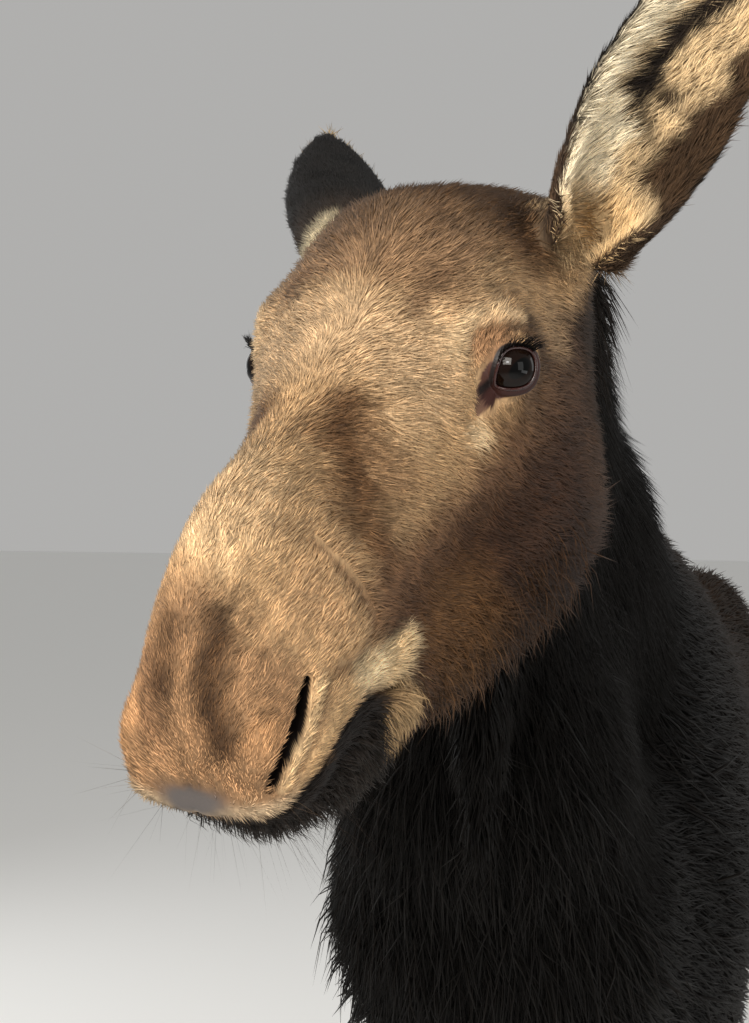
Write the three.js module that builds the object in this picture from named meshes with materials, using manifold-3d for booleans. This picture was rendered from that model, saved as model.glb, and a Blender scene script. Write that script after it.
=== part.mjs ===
// A cow moose (Alces alces) standing square on a level floor, at life size, in winter coat.
// The head is raised a little, turned to the animal's right and carried with the nose down.
//
// Millimetres. The animal faces -Y, its left side is +X and +Z is up. While it is being shaped,
// x = 0 is the body's middle plane, y = 0 is the withers and z = 0 is the floor. The finished
// group is then moved so that the origin is the middle of the floor under the whole animal.
//
// The flesh is one smooth field: lofts for the trunk and the head, tapered limbs for the neck and
// the legs, and soft ellipsoids for the muscles. Each node is meshed from that field between two
// planes, so that neighbours share one outline and stand a thin parting apart.

import * as THREE from "three";
import { mergeVertices } from "three/addons/utils/BufferGeometryUtils.js";
import Module from "manifold-3d";

const wasm = await Module();
wasm.setup();

// ---- driving dimensions -------------------------------------------------------------------------

const PARTING = 0.4; // gap left between neighbouring nodes
const WITHERS_HEIGHT = 1645; // floor to the top of the withers, over the coat
const EYE_RADIUS = 20; // the eyeball
const EYE_SPREAD = 87; // middle plane to the left eyeball's centre
const RIGHT_BROW_OUT = 5; // the right eye and the brow round it stand this much farther out
const EAR_LENGTH = 265;
const EAR_THICKNESS = 9;
const CORONET_HEIGHT = 74; // floor to the top of the hooves
const LEG_TRACK = 136; // middle plane to a hoof's centre
const FORE_CUT = 845; // floor to the parting between foreleg and trunk
const HIND_CUT = 885; // the same for the hind leg
const HEAD = {
  eyes: [21, -934, 1727], // the point of its middle plane that is level with both eyes
  turn: -14.5, // degrees about +Z, towards the animal's right
  nod: 35.5, // degrees nose down
  lean: 3.2, // degrees, left side down
};

// ---- small tools --------------------------------------------------------------------------------

const radians = THREE.MathUtils.degToRad;
const vec = (x, y, z) => new THREE.Vector3(x, y, z);
const clamp01 = (t) => Math.min(1, Math.max(0, t));

// A smooth curve through [station, value] pairs: cubic between them, level outside them.
function curve(...pairs) {
  const at = pairs.map((p) => p[0]);
  const value = pairs.map((p) => p[1]);
  const slope = value.map((_, i) => {
    const a = Math.max(0, i - 1);
    const b = Math.min(value.length - 1, i + 1);
    return i === a || i === b ? 0 : (value[b] - value[a]) / (at[b] - at[a]);
  });
  return (s) => {
    if (s <= at[0]) return value[0];
    if (s >= at[at.length - 1]) return value[value.length - 1];
    let i = 0;
    while (s > at[i + 1]) i++;
    const step = at[i + 1] - at[i];
    const t = (s - at[i]) / step;
    const u = t * t * (3 - 2 * t);
    return (
      value[i] * (1 - u) +
      value[i + 1] * u +
      step * (slope[i] * t * (1 - t) * (1 - t) - slope[i + 1] * t * t * (1 - t))
    );
  };
}

// Two fields joined, or one cut from the other, with a fillet of about the size k.
function join(a, b, k) {
  const h = clamp01(0.5 + (0.5 * (b - a)) / k);
  return b + (a - b) * h - k * h * (1 - h);
}
const carve = (a, b, k) => -join(-a, b, k);

// An ellipsoid's field, in millimetres near its surface.
function blob(p, centre, radii, tilt = 0) {
  const c = Math.cos(radians(tilt));
  const s = Math.sin(radians(tilt));
  const dy = p.y - centre[1];
  const dz = p.z - centre[2];
  const x = (p.x - centre[0]) / radii[0];
  const y = (dy * c + dz * s) / radii[1];
  const z = (dz * c - dy * s) / radii[2];
  const n = Math.hypot(x, y, z);
  const steepness = 0.5 + 0.5 * Math.min(n, 1.5); // keeps fillets even inside and outside
  return (n - 1) * Math.min(...radii) * steepness;
}

// A limb through [x, y, z, half width, half depth] points, oval in section.
function limb(p, points, k = 0) {
  let best = Infinity;
  for (let i = 0; i + 1 < points.length; i++) {
    const [ax, ay, az, aw, ad] = points[i];
    const [bx, by, bz, bw, bd] = points[i + 1];
    const dx = bx - ax;
    const dy = by - ay;
    const dz = bz - az;
    const t = clamp01(
      ((p.x - ax) * dx + (p.y - ay) * dy + (p.z - az) * dz) / (dx * dx + dy * dy + dz * dz),
    );
    const width = aw + (bw - aw) * t;
    const depth = ad + (bd - ad) * t;
    const ox = (p.x - ax - dx * t) / width;
    const oy = Math.hypot(p.y - ay - dy * t, p.z - az - dz * t) / depth;
    const one = (Math.hypot(ox, oy) - 1) * Math.min(width, depth);
    best = k ? join(best === Infinity ? one : best, one, k) : Math.min(best, one);
  }
  return best;
}

// ---- the trunk ----------------------------------------------------------------------------------

const backLine = curve([-400, 1290], [-320, 1425], [-220, 1540], [-110, 1606], [-20, WITHERS_HEIGHT],
  [70, 1636], [240, 1536], [460, 1484], [720, 1476], [905, 1492], [1005, 1470], [1095, 1405],
  [1165, 1310]);
const bellyLine = curve([-400, 1010], [-320, 945], [-200, 900], [60, 875], [290, 872],
  [530, 892], [720, 930], [885, 1005], [1005, 1090], [1165, 1215]);
const trunkHalf = curve([-400, 150], [-320, 188], [-200, 218], [0, 242], [190, 262], [380, 284],
  [570, 286], [740, 270], [895, 245], [1025, 200], [1110, 150], [1165, 95]);
// How full the upper half of a section is: a roof at the withers, a barrel behind the ribs.
const fullness = curve([-400, 2.1], [-200, 2.05], [0, 2], [300, 1.95], [1165, 2]);
const TRUNK_FRONT = -400;
const TRUNK_REAR = 1120;
const CHEST_CAP = 62; // how far the breast bulges past the first station
const RUMP_CAP = 60;
const WIDEST_AT = 0.44; // of the way up from belly line to back line
const BELLY_FULLNESS = 2.25;
const LOFT_SLOPE = 0.85; // makes a loft's field rise about as fast as distance

function trunkField(p) {
  const y = THREE.MathUtils.clamp(p.y, TRUNK_FRONT, TRUNK_REAR);
  const past = p.y < y ? (y - p.y) / CHEST_CAP : (p.y - y) / RUMP_CAP;
  const top = backLine(y);
  const bottom = bellyLine(y);
  const widest = bottom + (top - bottom) * WIDEST_AT;
  const high = p.z > widest;
  const half = trunkHalf(y);
  const deep = high ? top - widest : widest - bottom;
  const sharp = high ? fullness(y) : BELLY_FULLNESS;
  const n =
    Math.abs(p.x / half) ** sharp + Math.abs((p.z - widest) / deep) ** sharp + past ** 2;
  return (n ** (1 / sharp) - 1) * Math.min(half, deep) * LOFT_SLOPE;
}

const shoulderBlade = (p, side) => blob(p, [side * 134, -80, 1220], [88, 160, 250], -14);
const haunch = (p, side) => blob(p, [side * 124, 985, 1240], [112, 190, 250], 12);

// ---- the legs -----------------------------------------------------------------------------------

// [inward or outward of the track, y, z, half width, half depth], from the body down.
const FORELEG = [
  [6, -110, 1160, 88, 142],
  [10, 5, 930, 78, 108],
  [6, -8, 795, 56, 78],
  [2, -26, 605, 42, 53],
  [0, -34, 475, 42, 49],
  [0, -30, 415, 34, 41],
  [0, -22, 285, 28, 36],
  [0, -16, 180, 31, 40],
  [0, -18, 138, 35, 44],
  [0, -34, 66, 38, 48],
];
const HIND_LEG = [
  [-4, 990, 1230, 112, 188],
  [22, 930, 1030, 92, 152],
  [18, 998, 830, 60, 96],
  [8, 1094, 662, 41, 61],
  [2, 1120, 582, 40, 57],
  [0, 1109, 500, 34, 46],
  [0, 1094, 320, 30, 40],
  [0, 1082, 185, 32, 43],
  [0, 1078, 142, 36, 46],
  [0, 1060, 66, 38, 49],
];
const hockPoint = (p, side) => blob(p, [side * LEG_TRACK, 1166, 616], [22, 24, 58], 8);

function legPoints(leg, side) {
  return leg.map(([out, y, z, half, deep]) => [side * (LEG_TRACK + out), y, z, half, deep]);
}
const LEGS = [];
for (const side of [1, -1])
  for (const fore of [true, false])
    LEGS.push({ side, fore, points: legPoints(fore ? FORELEG : HIND_LEG, side) });

const LEG_FILLET = 14;
const HOCK_FILLET = 22;
function legField(p, leg) {
  const body = limb(p, leg.points, LEG_FILLET);
  return leg.fore ? body : join(body, hockPoint(p, leg.side), HOCK_FILLET);
}

// ---- the head, in its own frame: x left, y back towards the neck, z up through the forehead -------

const headTurn = new THREE.Matrix4().makeRotationFromEuler(
  new THREE.Euler(radians(HEAD.nod), radians(HEAD.lean), radians(HEAD.turn), "ZXY"),
);
const headPlace = headTurn.clone().setPosition(...HEAD.eyes);
const headInverse = headPlace.clone().invert();
const inHead = (x, y, z) => vec(x, y, z).applyMatrix4(headPlace);

const browLine = curve([-308, -4], [-285, 22], [-255, 42], [-220, 52], [-185, 53], [-150, 49],
  [-110, 52], [-75, 60], [-35, 70], [0, 78], [50, 86], [100, 83], [150, 62], [205, 32]);
const palateLine = curve([-308, -112], [-285, -124], [-255, -130], [-220, -126], [-180, -112],
  [-130, -104], [-60, -108], [60, -118], [205, -105]);
const faceHalf = curve([-308, 53], [-280, 57], [-250, 56], [-215, 55], [-180, 55], [-140, 57],
  [-100, 66], [-60, 76], [-25, 85], [20, 90], [70, 88], [120, 84], [205, 76]);
const middleLine = curve([-308, -88], [-250, -80], [-180, -58], [-110, -38], [0, -8], [205, -10]);
const roundness = curve([-308, 1.5], [-200, 1.6], [-120, 1.8], [-40, 2]);
const NOSE_CAP = 24;
const NOSE_FRONT = -304;
const FACE_REAR = 205;
const UNDER_FULLNESS = 2.4; // of a section below its widest height
const FACE_SLOPE = 0.9; // the same as LOFT_SLOPE, for the face

function faceLoft(h) {
  const y = THREE.MathUtils.clamp(h.y, NOSE_FRONT, FACE_REAR);
  const past = (y - h.y) / NOSE_CAP;
  const top = browLine(y);
  const bottom = palateLine(y);
  const widest = middleLine(y);
  const half = faceHalf(y);
  const deep = h.z > widest ? top - widest : widest - bottom;
  const sharp = h.z > widest ? roundness(y) : UNDER_FULLNESS;
  const n =
    Math.abs(h.x / half) ** sharp +
    Math.abs((h.z - widest) / deep) ** sharp +
    Math.abs(past) ** (h.y < y ? sharp : 2);
  return (n ** (1 / sharp) - 1) * Math.min(half, deep) * FACE_SLOPE;
}

// The lower jaw: a long oval bar from the angle of the jaw to the chin.
const jawBottom = curve([-285, -158], [-255, -176], [-220, -186], [-180, -191], [-140, -200],
  [-90, -212], [-40, -221], [20, -226], [80, -224], [125, -210], [155, -185]);
const jawHalf = curve([-285, 36], [-250, 46], [-210, 52], [-160, 59], [-100, 68], [-40, 79],
  [40, 86], [110, 86], [155, 70]);
const CHIN_FRONT = -280;
const JAW_REAR = 132;
const CHIN_CAP = 26; // how far the jaw bulges past its first and its last station
const JAW_CAP = 48;
const JAW_HALF_DEPTH = 62;
const JAW_SLOPE = 44;
function jawLoft(h) {
  const y = THREE.MathUtils.clamp(h.y, CHIN_FRONT, JAW_REAR);
  const past = h.y < y ? (y - h.y) / CHIN_CAP : (h.y - y) / JAW_CAP;
  const middle = jawBottom(y) + JAW_HALF_DEPTH;
  const n =
    Math.abs(h.x / jawHalf(y)) ** UNDER_FULLNESS +
    Math.abs((h.z - middle) / JAW_HALF_DEPTH) ** UNDER_FULLNESS +
    past ** UNDER_FULLNESS;
  return (n ** (1 / UNDER_FULLNESS) - 1) * JAW_SLOPE;
}

// How much farther out the right side of the head stands there: fully around its eye, then less.
const RIGHT_BROW = { y: 5, z: 15, full: 40, end: 110, edge: 40 };
function rightOut(h) {
  const away = Math.hypot(h.y - RIGHT_BROW.y, h.z - RIGHT_BROW.z);
  const t = clamp01((RIGHT_BROW.end - away) / (RIGHT_BROW.end - RIGHT_BROW.full));
  return RIGHT_BROW_OUT * t * t * (3 - 2 * t) * clamp01(-h.x / RIGHT_BROW.edge);
}

const SOCKET = [EYE_SPREAD + 27, -19, 7];

function headField(p) {
  const h = p.clone().applyMatrix4(headInverse);
  h.x += rightOut(h);
  const m = vec(Math.abs(h.x), h.y, h.z); // apart from that, both sides are alike
  let f = faceLoft(h);
  f = join(f, jawLoft(h), m.y < -150 ? 8 : 16);
  f = join(f, blob(m, [58, 50, -106], [36, 84, 88], 14), 34); // the chewing muscle
  f = join(f, blob(m, [66, 6, 32], [30, 38, 22]), 18); // the brow over the eye
  f = join(f, blob(m, [64, -14, -32], [27, 52, 26]), 22); // the cheekbone under it
  f = join(f, blob(m, [22, -242, -70], [36, 54, 52], 8), 10); // the soft pad of the muzzle
  f = join(f, blob(m, [40, -291, -76], [22, 32, 38], 20), 12); // the wing of the nostril
  f = join(f, blob(m, [24, 72, 43], [44, 58, 42]), 30); // the forehead's rise
  f = join(f, blob(m, [78, 142, 16], [32, 32, 36]), 24); // the root of the ear
  f = carve(f, blob(m, [62, -290, -70], [12, 13, 36], -42), 7); // the mouth of the nostril
  f = carve(f, blob(m, SOCKET, [24, 24, 24]), 5); // the socket, open forward and outward
  return f;
}

// ---- the neck and the whole body ----------------------------------------------------------------

const nape = inHead(0, 178, -60);
const NECK = [
  [nape.x, nape.y, nape.z, 72, 86],
  [40, -620, 1700, 86, 120],
  [10, -426, 1594, 142, 160],
  [0, -190, 1436, 182, 205],
];
// The long hair on the underside of the neck fills the angle between the throat and the breast.
const RUFF = [
  [38, -630, 1575, 64, 72],
  [0, -510, 1400, 136, 130],
  [-10, -390, 1230, 188, 170],
];

const FILLET = { muscle: 60, bend: 40, neck: 70, ruff: 50, head: 30, leg: 46 };
const HEAD_IS_BEFORE = -500; // the head's and the legs' fields are only asked for near them
const LEGS_ARE_BELOW = 1300;

function fleshField(p) {
  let f = trunkField(p);
  for (const side of [1, -1]) {
    f = join(f, shoulderBlade(p, side), FILLET.muscle);
    f = join(f, haunch(p, side), FILLET.muscle);
  }
  f = join(f, limb(p, NECK, FILLET.bend), FILLET.neck);
  f = join(f, limb(p, RUFF, FILLET.bend), FILLET.ruff);
  if (p.y < HEAD_IS_BEFORE) f = join(f, headField(p), FILLET.head);
  if (p.z < LEGS_ARE_BELOW) for (const leg of LEGS) f = join(f, legField(p, leg), FILLET.leg);
  return f;
}

// ---- meshing ------------------------------------------------------------------------------------

// How far out from `from` along the unit vector `way` the field first turns positive.
const FARTHEST = 900;
const STRIDE = 7;
const HALVINGS = 14;
function reach(field, from, way) {
  const probe = vec();
  const at = (r) => field(probe.copy(way).multiplyScalar(r).add(from));
  let low = 0;
  let high = 0;
  while (at(high) < 0 && high < FARTHEST) {
    low = high;
    high += STRIDE;
  }
  for (let i = 0; i < HALVINGS; i++) {
    const middle = (low + high) / 2;
    if (at(middle) < 0) low = middle;
    else high = middle;
  }
  return probe.copy(way).multiplyScalar((low + high) / 2).add(from).clone();
}

function solid(vertices, triangles) {
  const made = new wasm.Manifold(
    new wasm.Mesh({
      numProp: 3,
      vertProperties: new Float32Array(vertices.flatMap((v) => [v.x, v.y, v.z])),
      triVerts: new Uint32Array(triangles.flat()),
    }),
  );
  if (made.volume() > 0) return made;
  return solid(vertices, triangles.map(([a, b, c]) => [a, c, b]));
}

const WELD = 1e-3; // corners nearer than this become one
function fromGeometry(geometry) {
  const bare = geometry.clone();
  bare.deleteAttribute("normal");
  bare.deleteAttribute("uv");
  const merged = mergeVertices(bare, WELD);
  return new wasm.Manifold(
    new wasm.Mesh({
      numProp: 3,
      vertProperties: merged.attributes.position.array,
      triVerts: new Uint32Array(merged.index.array),
    }),
  );
}

const biggest = (made) => made.decompose().reduce((a, b) => (a.volume() > b.volume() ? a : b));

// Rings of equal length stitched into a closed surface. `ends` holds the two closing points.
function stitched(rings, ends) {
  const vertices = rings.flat();
  const count = rings[0].length;
  const triangles = [];
  for (let i = 0; i + 1 < rings.length; i++)
    for (let j = 0; j < count; j++) {
      const a = i * count + j;
      const b = i * count + ((j + 1) % count);
      triangles.push([a, b, a + count], [b, b + count, a + count]);
    }
  const first = vertices.push(ends[0]) - 1;
  const last = vertices.push(ends[1]) - 1;
  const base = (rings.length - 1) * count;
  for (let j = 0; j < count; j++) {
    const next = (j + 1) % count;
    triangles.push([first, next, j], [last, base + j, base + next]);
  }
  return solid(vertices, triangles);
}

// A node meshed round an axis: each ring looks outwards from its centre in the plane of u and v.
// `lift` tips a ring's rays towards the axis, which rounds off a free end.
function around(field, rings, sides) {
  const made = rings.map(({ centre, u, v, w, lift = 0 }) =>
    Array.from({ length: sides }, (_, j) => {
      const a = (2 * Math.PI * j) / sides;
      const way = u.clone().multiplyScalar(Math.cos(a) * Math.cos(lift));
      way.addScaledVector(v, Math.sin(a) * Math.cos(lift));
      if (lift) way.addScaledVector(w, Math.sin(lift));
      return reach(field, centre, way);
    }),
  );
  const end = (ring) => (ring.w ? reach(field, ring.centre, ring.w) : ring.centre);
  return stitched(made, [end(rings[0]), end(rings[rings.length - 1])]);
}

// Surface nets: one vertex in each cell that the surface passes, pulled onto the surface.
const PROBE = 1; // how far apart a slope is measured
const PULLS = 3;
const LONGEST_PULL = 0.3; // of a cell
function nets(field, low, high, cell) {
  const size = [0, 1, 2].map((k) => Math.ceil((high[k] - low[k]) / cell) + 1);
  const index = (i, j, k) => i + size[0] * (j + size[1] * k);
  const value = new Float32Array(size[0] * size[1] * size[2]);
  const p = vec();
  const place = (i, j, k) => p.set(low[0] + i * cell, low[1] + j * cell, low[2] + k * cell);
  for (let k = 0; k < size[2]; k++)
    for (let j = 0; j < size[1]; j++)
      for (let i = 0; i < size[0]; i++) value[index(i, j, k)] = field(place(i, j, k));
  const vertices = [];
  const owner = new Map();
  const corner = [0, 1, 2, 3, 4, 5, 6, 7].map((c) => [c & 1, (c >> 1) & 1, c >> 2]);
  function vertexOf(i, j, k) {
    const key = index(i, j, k);
    if (owner.has(key)) return owner.get(key);
    const sum = vec();
    let crossings = 0;
    for (const a of corner)
      for (let axis = 0; axis < 3; axis++) {
        if (a[axis]) continue;
        const b = a.slice();
        b[axis] = 1;
        const va = value[index(i + a[0], j + a[1], k + a[2])];
        const vb = value[index(i + b[0], j + b[1], k + b[2])];
        if (va < 0 === vb < 0) continue;
        const t = va / (va - vb);
        const from = place(i + a[0], j + a[1], k + a[2]).clone();
        sum.add(from.lerp(place(i + b[0], j + b[1], k + b[2]), t));
        crossings++;
      }
    const at = sum.divideScalar(crossings);
    const longest = cell * LONGEST_PULL;
    for (let pass = 0; pass < PULLS; pass++) {
      const f = field(at);
      const slope = vec(
        field(at.clone().setX(at.x + PROBE)) - f,
        field(at.clone().setY(at.y + PROBE)) - f,
        field(at.clone().setZ(at.z + PROBE)) - f,
      ).divideScalar(PROBE);
      const step = THREE.MathUtils.clamp(f / slope.lengthSq(), -longest, longest);
      at.addScaledVector(slope, -step);
    }
    owner.set(key, vertices.push(at) - 1);
    return vertices.length - 1;
  }
  const triangles = [];
  for (let k = 1; k + 1 < size[2]; k++)
    for (let j = 1; j + 1 < size[1]; j++)
      for (let i = 1; i + 1 < size[0]; i++)
        for (let axis = 0; axis < 3; axis++) {
          const step = [0, 0, 0];
          step[axis] = 1;
          const here = value[index(i, j, k)] < 0;
          if (here === value[index(i + step[0], j + step[1], k + step[2])] < 0) continue;
          const u = [0, 0, 0];
          const v = [0, 0, 0];
          u[(axis + 1) % 3] = 1;
          v[(axis + 2) % 3] = 1;
          const quad = [
            vertexOf(i, j, k),
            vertexOf(i - u[0], j - u[1], k - u[2]),
            vertexOf(i - u[0] - v[0], j - u[1] - v[1], k - u[2] - v[2]),
            vertexOf(i - v[0], j - v[1], k - v[2]),
          ];
          if (here) quad.reverse();
          triangles.push([quad[0], quad[1], quad[2]], [quad[0], quad[2], quad[3]]);
        }
  return solid(vertices, triangles);
}

// ---- the parting planes -------------------------------------------------------------------------

const headPlane = {
  centre: inHead(0, 158, -45),
  normal: vec(0, 0.912, -0.41).applyMatrix4(headTurn).normalize(),
};
const chestPlane = { centre: vec(0, -300, 1430), normal: vec(0, 0.86, -0.51).normalize() };

// The ring in a plane, facing along its normal; u points to the animal's left.
function ringIn({ centre, normal }) {
  const u = vec(1, 0, 0).addScaledVector(normal, -normal.x).normalize();
  return { centre: centre.clone(), u, v: vec().crossVectors(normal, u) };
}
function between(a, b, t) {
  return ringIn({
    centre: a.centre.clone().lerp(b.centre, t),
    normal: a.normal.clone().lerp(b.normal, t).normalize(),
  });
}
const shifted = (plane, by) => ({
  centre: plane.centre.clone().addScaledVector(plane.normal, by),
  normal: plane.normal,
});

// ---- the nodes ----------------------------------------------------------------------------------

const HEAD_SIDES = 32;
const FAN = [0, 0.2, 0.4, 0.6, 0.8]; // rings from the neck's parting to the crown
const HEAD_RINGS = [40, 24, 8, -8, -26, -50, -78, -108, -138, -168, -196, -222, -246, -268, -286];
const NOSE_TIPS = [12, 24, 36, 48, 60, 72, 82];
const midHead = curve([-286, -62], [-120, -50], [0, -54], [40, -62], [158, -45]);

function headSolid(swell = 0) {
  const field = (p) => fleshField(p) - swell;
  const left = vec(1, 0, 0).applyMatrix4(headTurn);
  const back = vec(0, 1, 0).applyMatrix4(headTurn);
  const up = vec(0, 0, 1).applyMatrix4(headTurn);
  const cut = shifted(headPlane, swell - PARTING / 2);
  const crown = { centre: inHead(0, HEAD_RINGS[0], midHead(HEAD_RINGS[0])), normal: back };
  // the planes fan forward from the parting, then stand square to the head
  const rings = FAN.map((t) => {
    const normal = cut.normal.clone().lerp(crown.normal, t).normalize();
    const centre = cut.centre.clone().lerp(crown.centre, t);
    return { centre, u: left, v: vec().crossVectors(left, normal) };
  });
  for (const y of HEAD_RINGS) rings.push({ centre: inHead(0, y, midHead(y)), u: left, v: up });
  const tip = rings[rings.length - 1];
  for (const lift of NOSE_TIPS)
    rings.push({ ...tip, w: back.clone().negate(), lift: radians(lift) });
  return around(field, rings, HEAD_SIDES);
}

const NECK_RINGS = 10;
const NECK_SIDES = 24;
function neckSolid(swell = 0) {
  const front = shifted(headPlane, PARTING / 2 - swell);
  const rear = shifted(chestPlane, swell - PARTING / 2);
  const rings = Array.from({ length: NECK_RINGS + 1 }, (_, i) =>
    between(front, rear, i / NECK_RINGS),
  );
  return around((p) => fleshField(p) - swell, rings, NECK_SIDES);
}

// A rectangular cutting block between two corners.
function slab(low, high) {
  const size = high.map((h, k) => h - low[k]);
  const box = new THREE.BoxGeometry(...size);
  box.translate(...low.map((l, k) => l + size[k] / 2));
  return fromGeometry(box);
}

// Everything in front of the chest plane or below the legs' partings, as cutting blocks.
const BLOCK = 3000;
function inFrontOf(plane) {
  const block = new THREE.BoxGeometry(BLOCK, BLOCK, BLOCK);
  block.translate(0, 0, -BLOCK / 2);
  const turn = new THREE.Quaternion().setFromUnitVectors(vec(0, 0, 1), plane.normal);
  block.applyQuaternion(turn);
  block.translate(plane.centre.x, plane.centre.y, plane.centre.z);
  return fromGeometry(block);
}

const FORE_REACH = [-260, 190]; // where along the body the blocks for the legs begin and end
const HIND_REACH = [700, 1300];
const BLOCK_OUT = 420;
const BLOCK_BASE = -50;
function legBlock(side, fore, top) {
  const [front, rear] = fore ? FORE_REACH : HIND_REACH;
  const outer = side * BLOCK_OUT;
  return slab([Math.min(0, outer), front, BLOCK_BASE], [Math.max(0, outer), rear, top]);
}

const TRUNK_CELL = 60;
const TRUNK_LOW = [-435, -600, 720]; // corners of the space the trunk is meshed in
const TRUNK_HIGH = [435, 1370, 1760];
const TRUNK_FLOOR = 815; // the flesh is not asked for below this, nor before the next
const TRUNK_FOREMOST = -540;
function trunkSolid(swell = 0) {
  const field = (p) => Math.max(fleshField(p) - swell, TRUNK_FLOOR - p.z, TRUNK_FOREMOST - p.y);
  let made = nets(field, TRUNK_LOW, TRUNK_HIGH, TRUNK_CELL);
  made = made.subtract(inFrontOf(shifted(chestPlane, PARTING / 2 - swell)));
  for (const { side, fore } of LEGS)
    made = made.subtract(legBlock(side, fore, (fore ? FORE_CUT : HIND_CUT) + PARTING / 2 - swell));
  return biggest(made);
}

// A leg runs from its parting down to the coronet; each ring is square to the leg's line.
const FORE_HEIGHTS = [775, 690, 610, 545, 508, 472, 438, 395, 300, 210, 170, 136, 106];
const HIND_HEIGHTS = [815, 745, 690, 645, 605, 565, 520, 450, 320, 230, 180, 142, 108];
const LEG_SIDES = 12;
function legSolid(leg, swell = 0) {
  const field = (p) => fleshField(p) - swell;
  const top = (leg.fore ? FORE_CUT : HIND_CUT) - PARTING / 2 + swell;
  const heights = [top, ...(leg.fore ? FORE_HEIGHTS : HIND_HEIGHTS)];
  heights.push(CORONET_HEIGHT + PARTING / 2 - swell);
  const line = (z) => {
    const points = leg.points;
    let i = 0;
    while (i + 2 < points.length && points[i + 1][2] > z) i++;
    const t = clamp01((points[i][2] - z) / (points[i][2] - points[i + 1][2]));
    return vec(
      points[i][0] + (points[i + 1][0] - points[i][0]) * t,
      points[i][1] + (points[i + 1][1] - points[i][1]) * t,
      z,
    );
  };
  const flat = { u: vec(1, 0, 0), v: vec(0, 1, 0) };
  const rings = heights.map((z) => ({ centre: line(z), ...flat }));
  return around(field, rings, LEG_SIDES);
}

// An ear: a leaf rolled round its own length, closed to a tube at the root and open to the front.
const earRadius = curve([0, 32], [0.18, 42], [0.45, 55], [0.7, 56], [0.9, 50], [1, 46]);
const earRoll = curve([0, 152], [0.14, 124], [0.3, 88], [0.5, 66], [0.72, 47], [0.9, 25], [1, 5]);
const EAR_STEPS = 11;
const EAR_ACROSS = 7;
const EAR_THINNING = 0.45; // how much of its thickness an ear loses by its tip
function earSolid(side, place) {
  // local x across the leaf, y out of its hollow side, z along it to the tip
  const rings = Array.from({ length: EAR_STEPS + 1 }, (_, i) => {
    const t = i / EAR_STEPS;
    const radius = earRadius(t);
    const roll = radians(earRoll(t));
    const arc = (r) =>
      Array.from({ length: EAR_ACROSS + 1 }, (_, j) => {
        const a = roll * (-1 + (2 * j) / EAR_ACROSS);
        const across = side * r * Math.sin(a);
        return vec(across, radius - r * Math.cos(a), t * EAR_LENGTH).applyMatrix4(place);
      });
    const thick = EAR_THICKNESS * (1 - EAR_THINNING * t);
    return [...arc(radius), ...arc(radius - thick).reverse()];
  });
  const vertices = rings.flat();
  const count = rings[0].length;
  const triangles = [];
  for (let i = 0; i < EAR_STEPS; i++)
    for (let j = 0; j < count; j++) {
      const a = i * count + j;
      const b = i * count + ((j + 1) % count);
      triangles.push([a, b, a + count], [b, b + count, a + count]);
    }
  for (const [base, flip] of [[0, true], [EAR_STEPS * count, false]])
    for (let j = 0; j < EAR_ACROSS; j++) {
      const quad = [j, j + 1, count - 2 - j, count - 1 - j].map((n) => base + n);
      if (flip) quad.reverse();
      triangles.push([quad[0], quad[1], quad[2]], [quad[0], quad[2], quad[3]]);
    }
  return solid(vertices, triangles);
}

// Each ear's root on the head, the way its tip points and the way its hollow faces.
// The left ear is pricked forward and the right one is laid back.
const EARS = {
  left: { side: 1, root: [94, 156, 16], tip: [0.56, 0.2, 0.8], open: [0.18, -0.97, 0.16] },
  right: { side: -1, root: [-68, 148, 30], tip: [-0.58, 0.81, -0.03], open: [-0.4, -0.25, -0.88] },
};
function earPlace({ root, tip, open }) {
  const along = vec(...tip).normalize();
  const out = vec(...open);
  out.addScaledVector(along, -out.dot(along)).normalize();
  const turn = new THREE.Matrix4().makeBasis(vec().crossVectors(out, along), out, along);
  return headPlace.clone().multiply(turn.setPosition(...root));
}

// One toe of a cloven hoof: a pointed wedge with a level sole.
const FORE_TOE = 132; // its length
const HIND_TOE = 124;
const TOE_WIDTH = 44;
const TOE_GAP = 6; // between the two toes
const TOE_SIDES = 10;
const TOE_POINT = 0.42; // how much narrower it is at its front
const TOE_OUTLINES = [
  // height, share of the width, share of the length, how far ahead of the foot its middle is
  [0, 0.94, 0.97, 34],
  [9, 1, 1, 34],
  [42, 1, 0.82, 20],
  [CORONET_HEIGHT - PARTING / 2, 0.92, 0.62, 8],
];
function toeSolid(leg, inner) {
  const foot = leg.points[leg.points.length - 1];
  const length = leg.fore ? FORE_TOE : HIND_TOE;
  const middle = foot[0] + (inner ? -1 : 1) * leg.side * (TOE_WIDTH + TOE_GAP) / 2;
  const outline = ([z, wide, long, ahead]) =>
    Array.from({ length: TOE_SIDES }, (_, j) => {
      const a = (2 * Math.PI * j) / TOE_SIDES;
      const front = Math.cos(a);
      const taper = front > 0 ? 1 - TOE_POINT * front : 1;
      return vec(
        middle + (TOE_WIDTH / 2) * wide * Math.sin(a) * taper,
        foot[1] - ahead - (length / 2) * long * front,
        z,
      );
    });
  const end = ([z, , , ahead]) => vec(middle, foot[1] - ahead, z);
  const sole = TOE_OUTLINES[0];
  const coronet = TOE_OUTLINES[TOE_OUTLINES.length - 1];
  return stitched(TOE_OUTLINES.map(outline), [end(sole), end(coronet)]);
}

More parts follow.
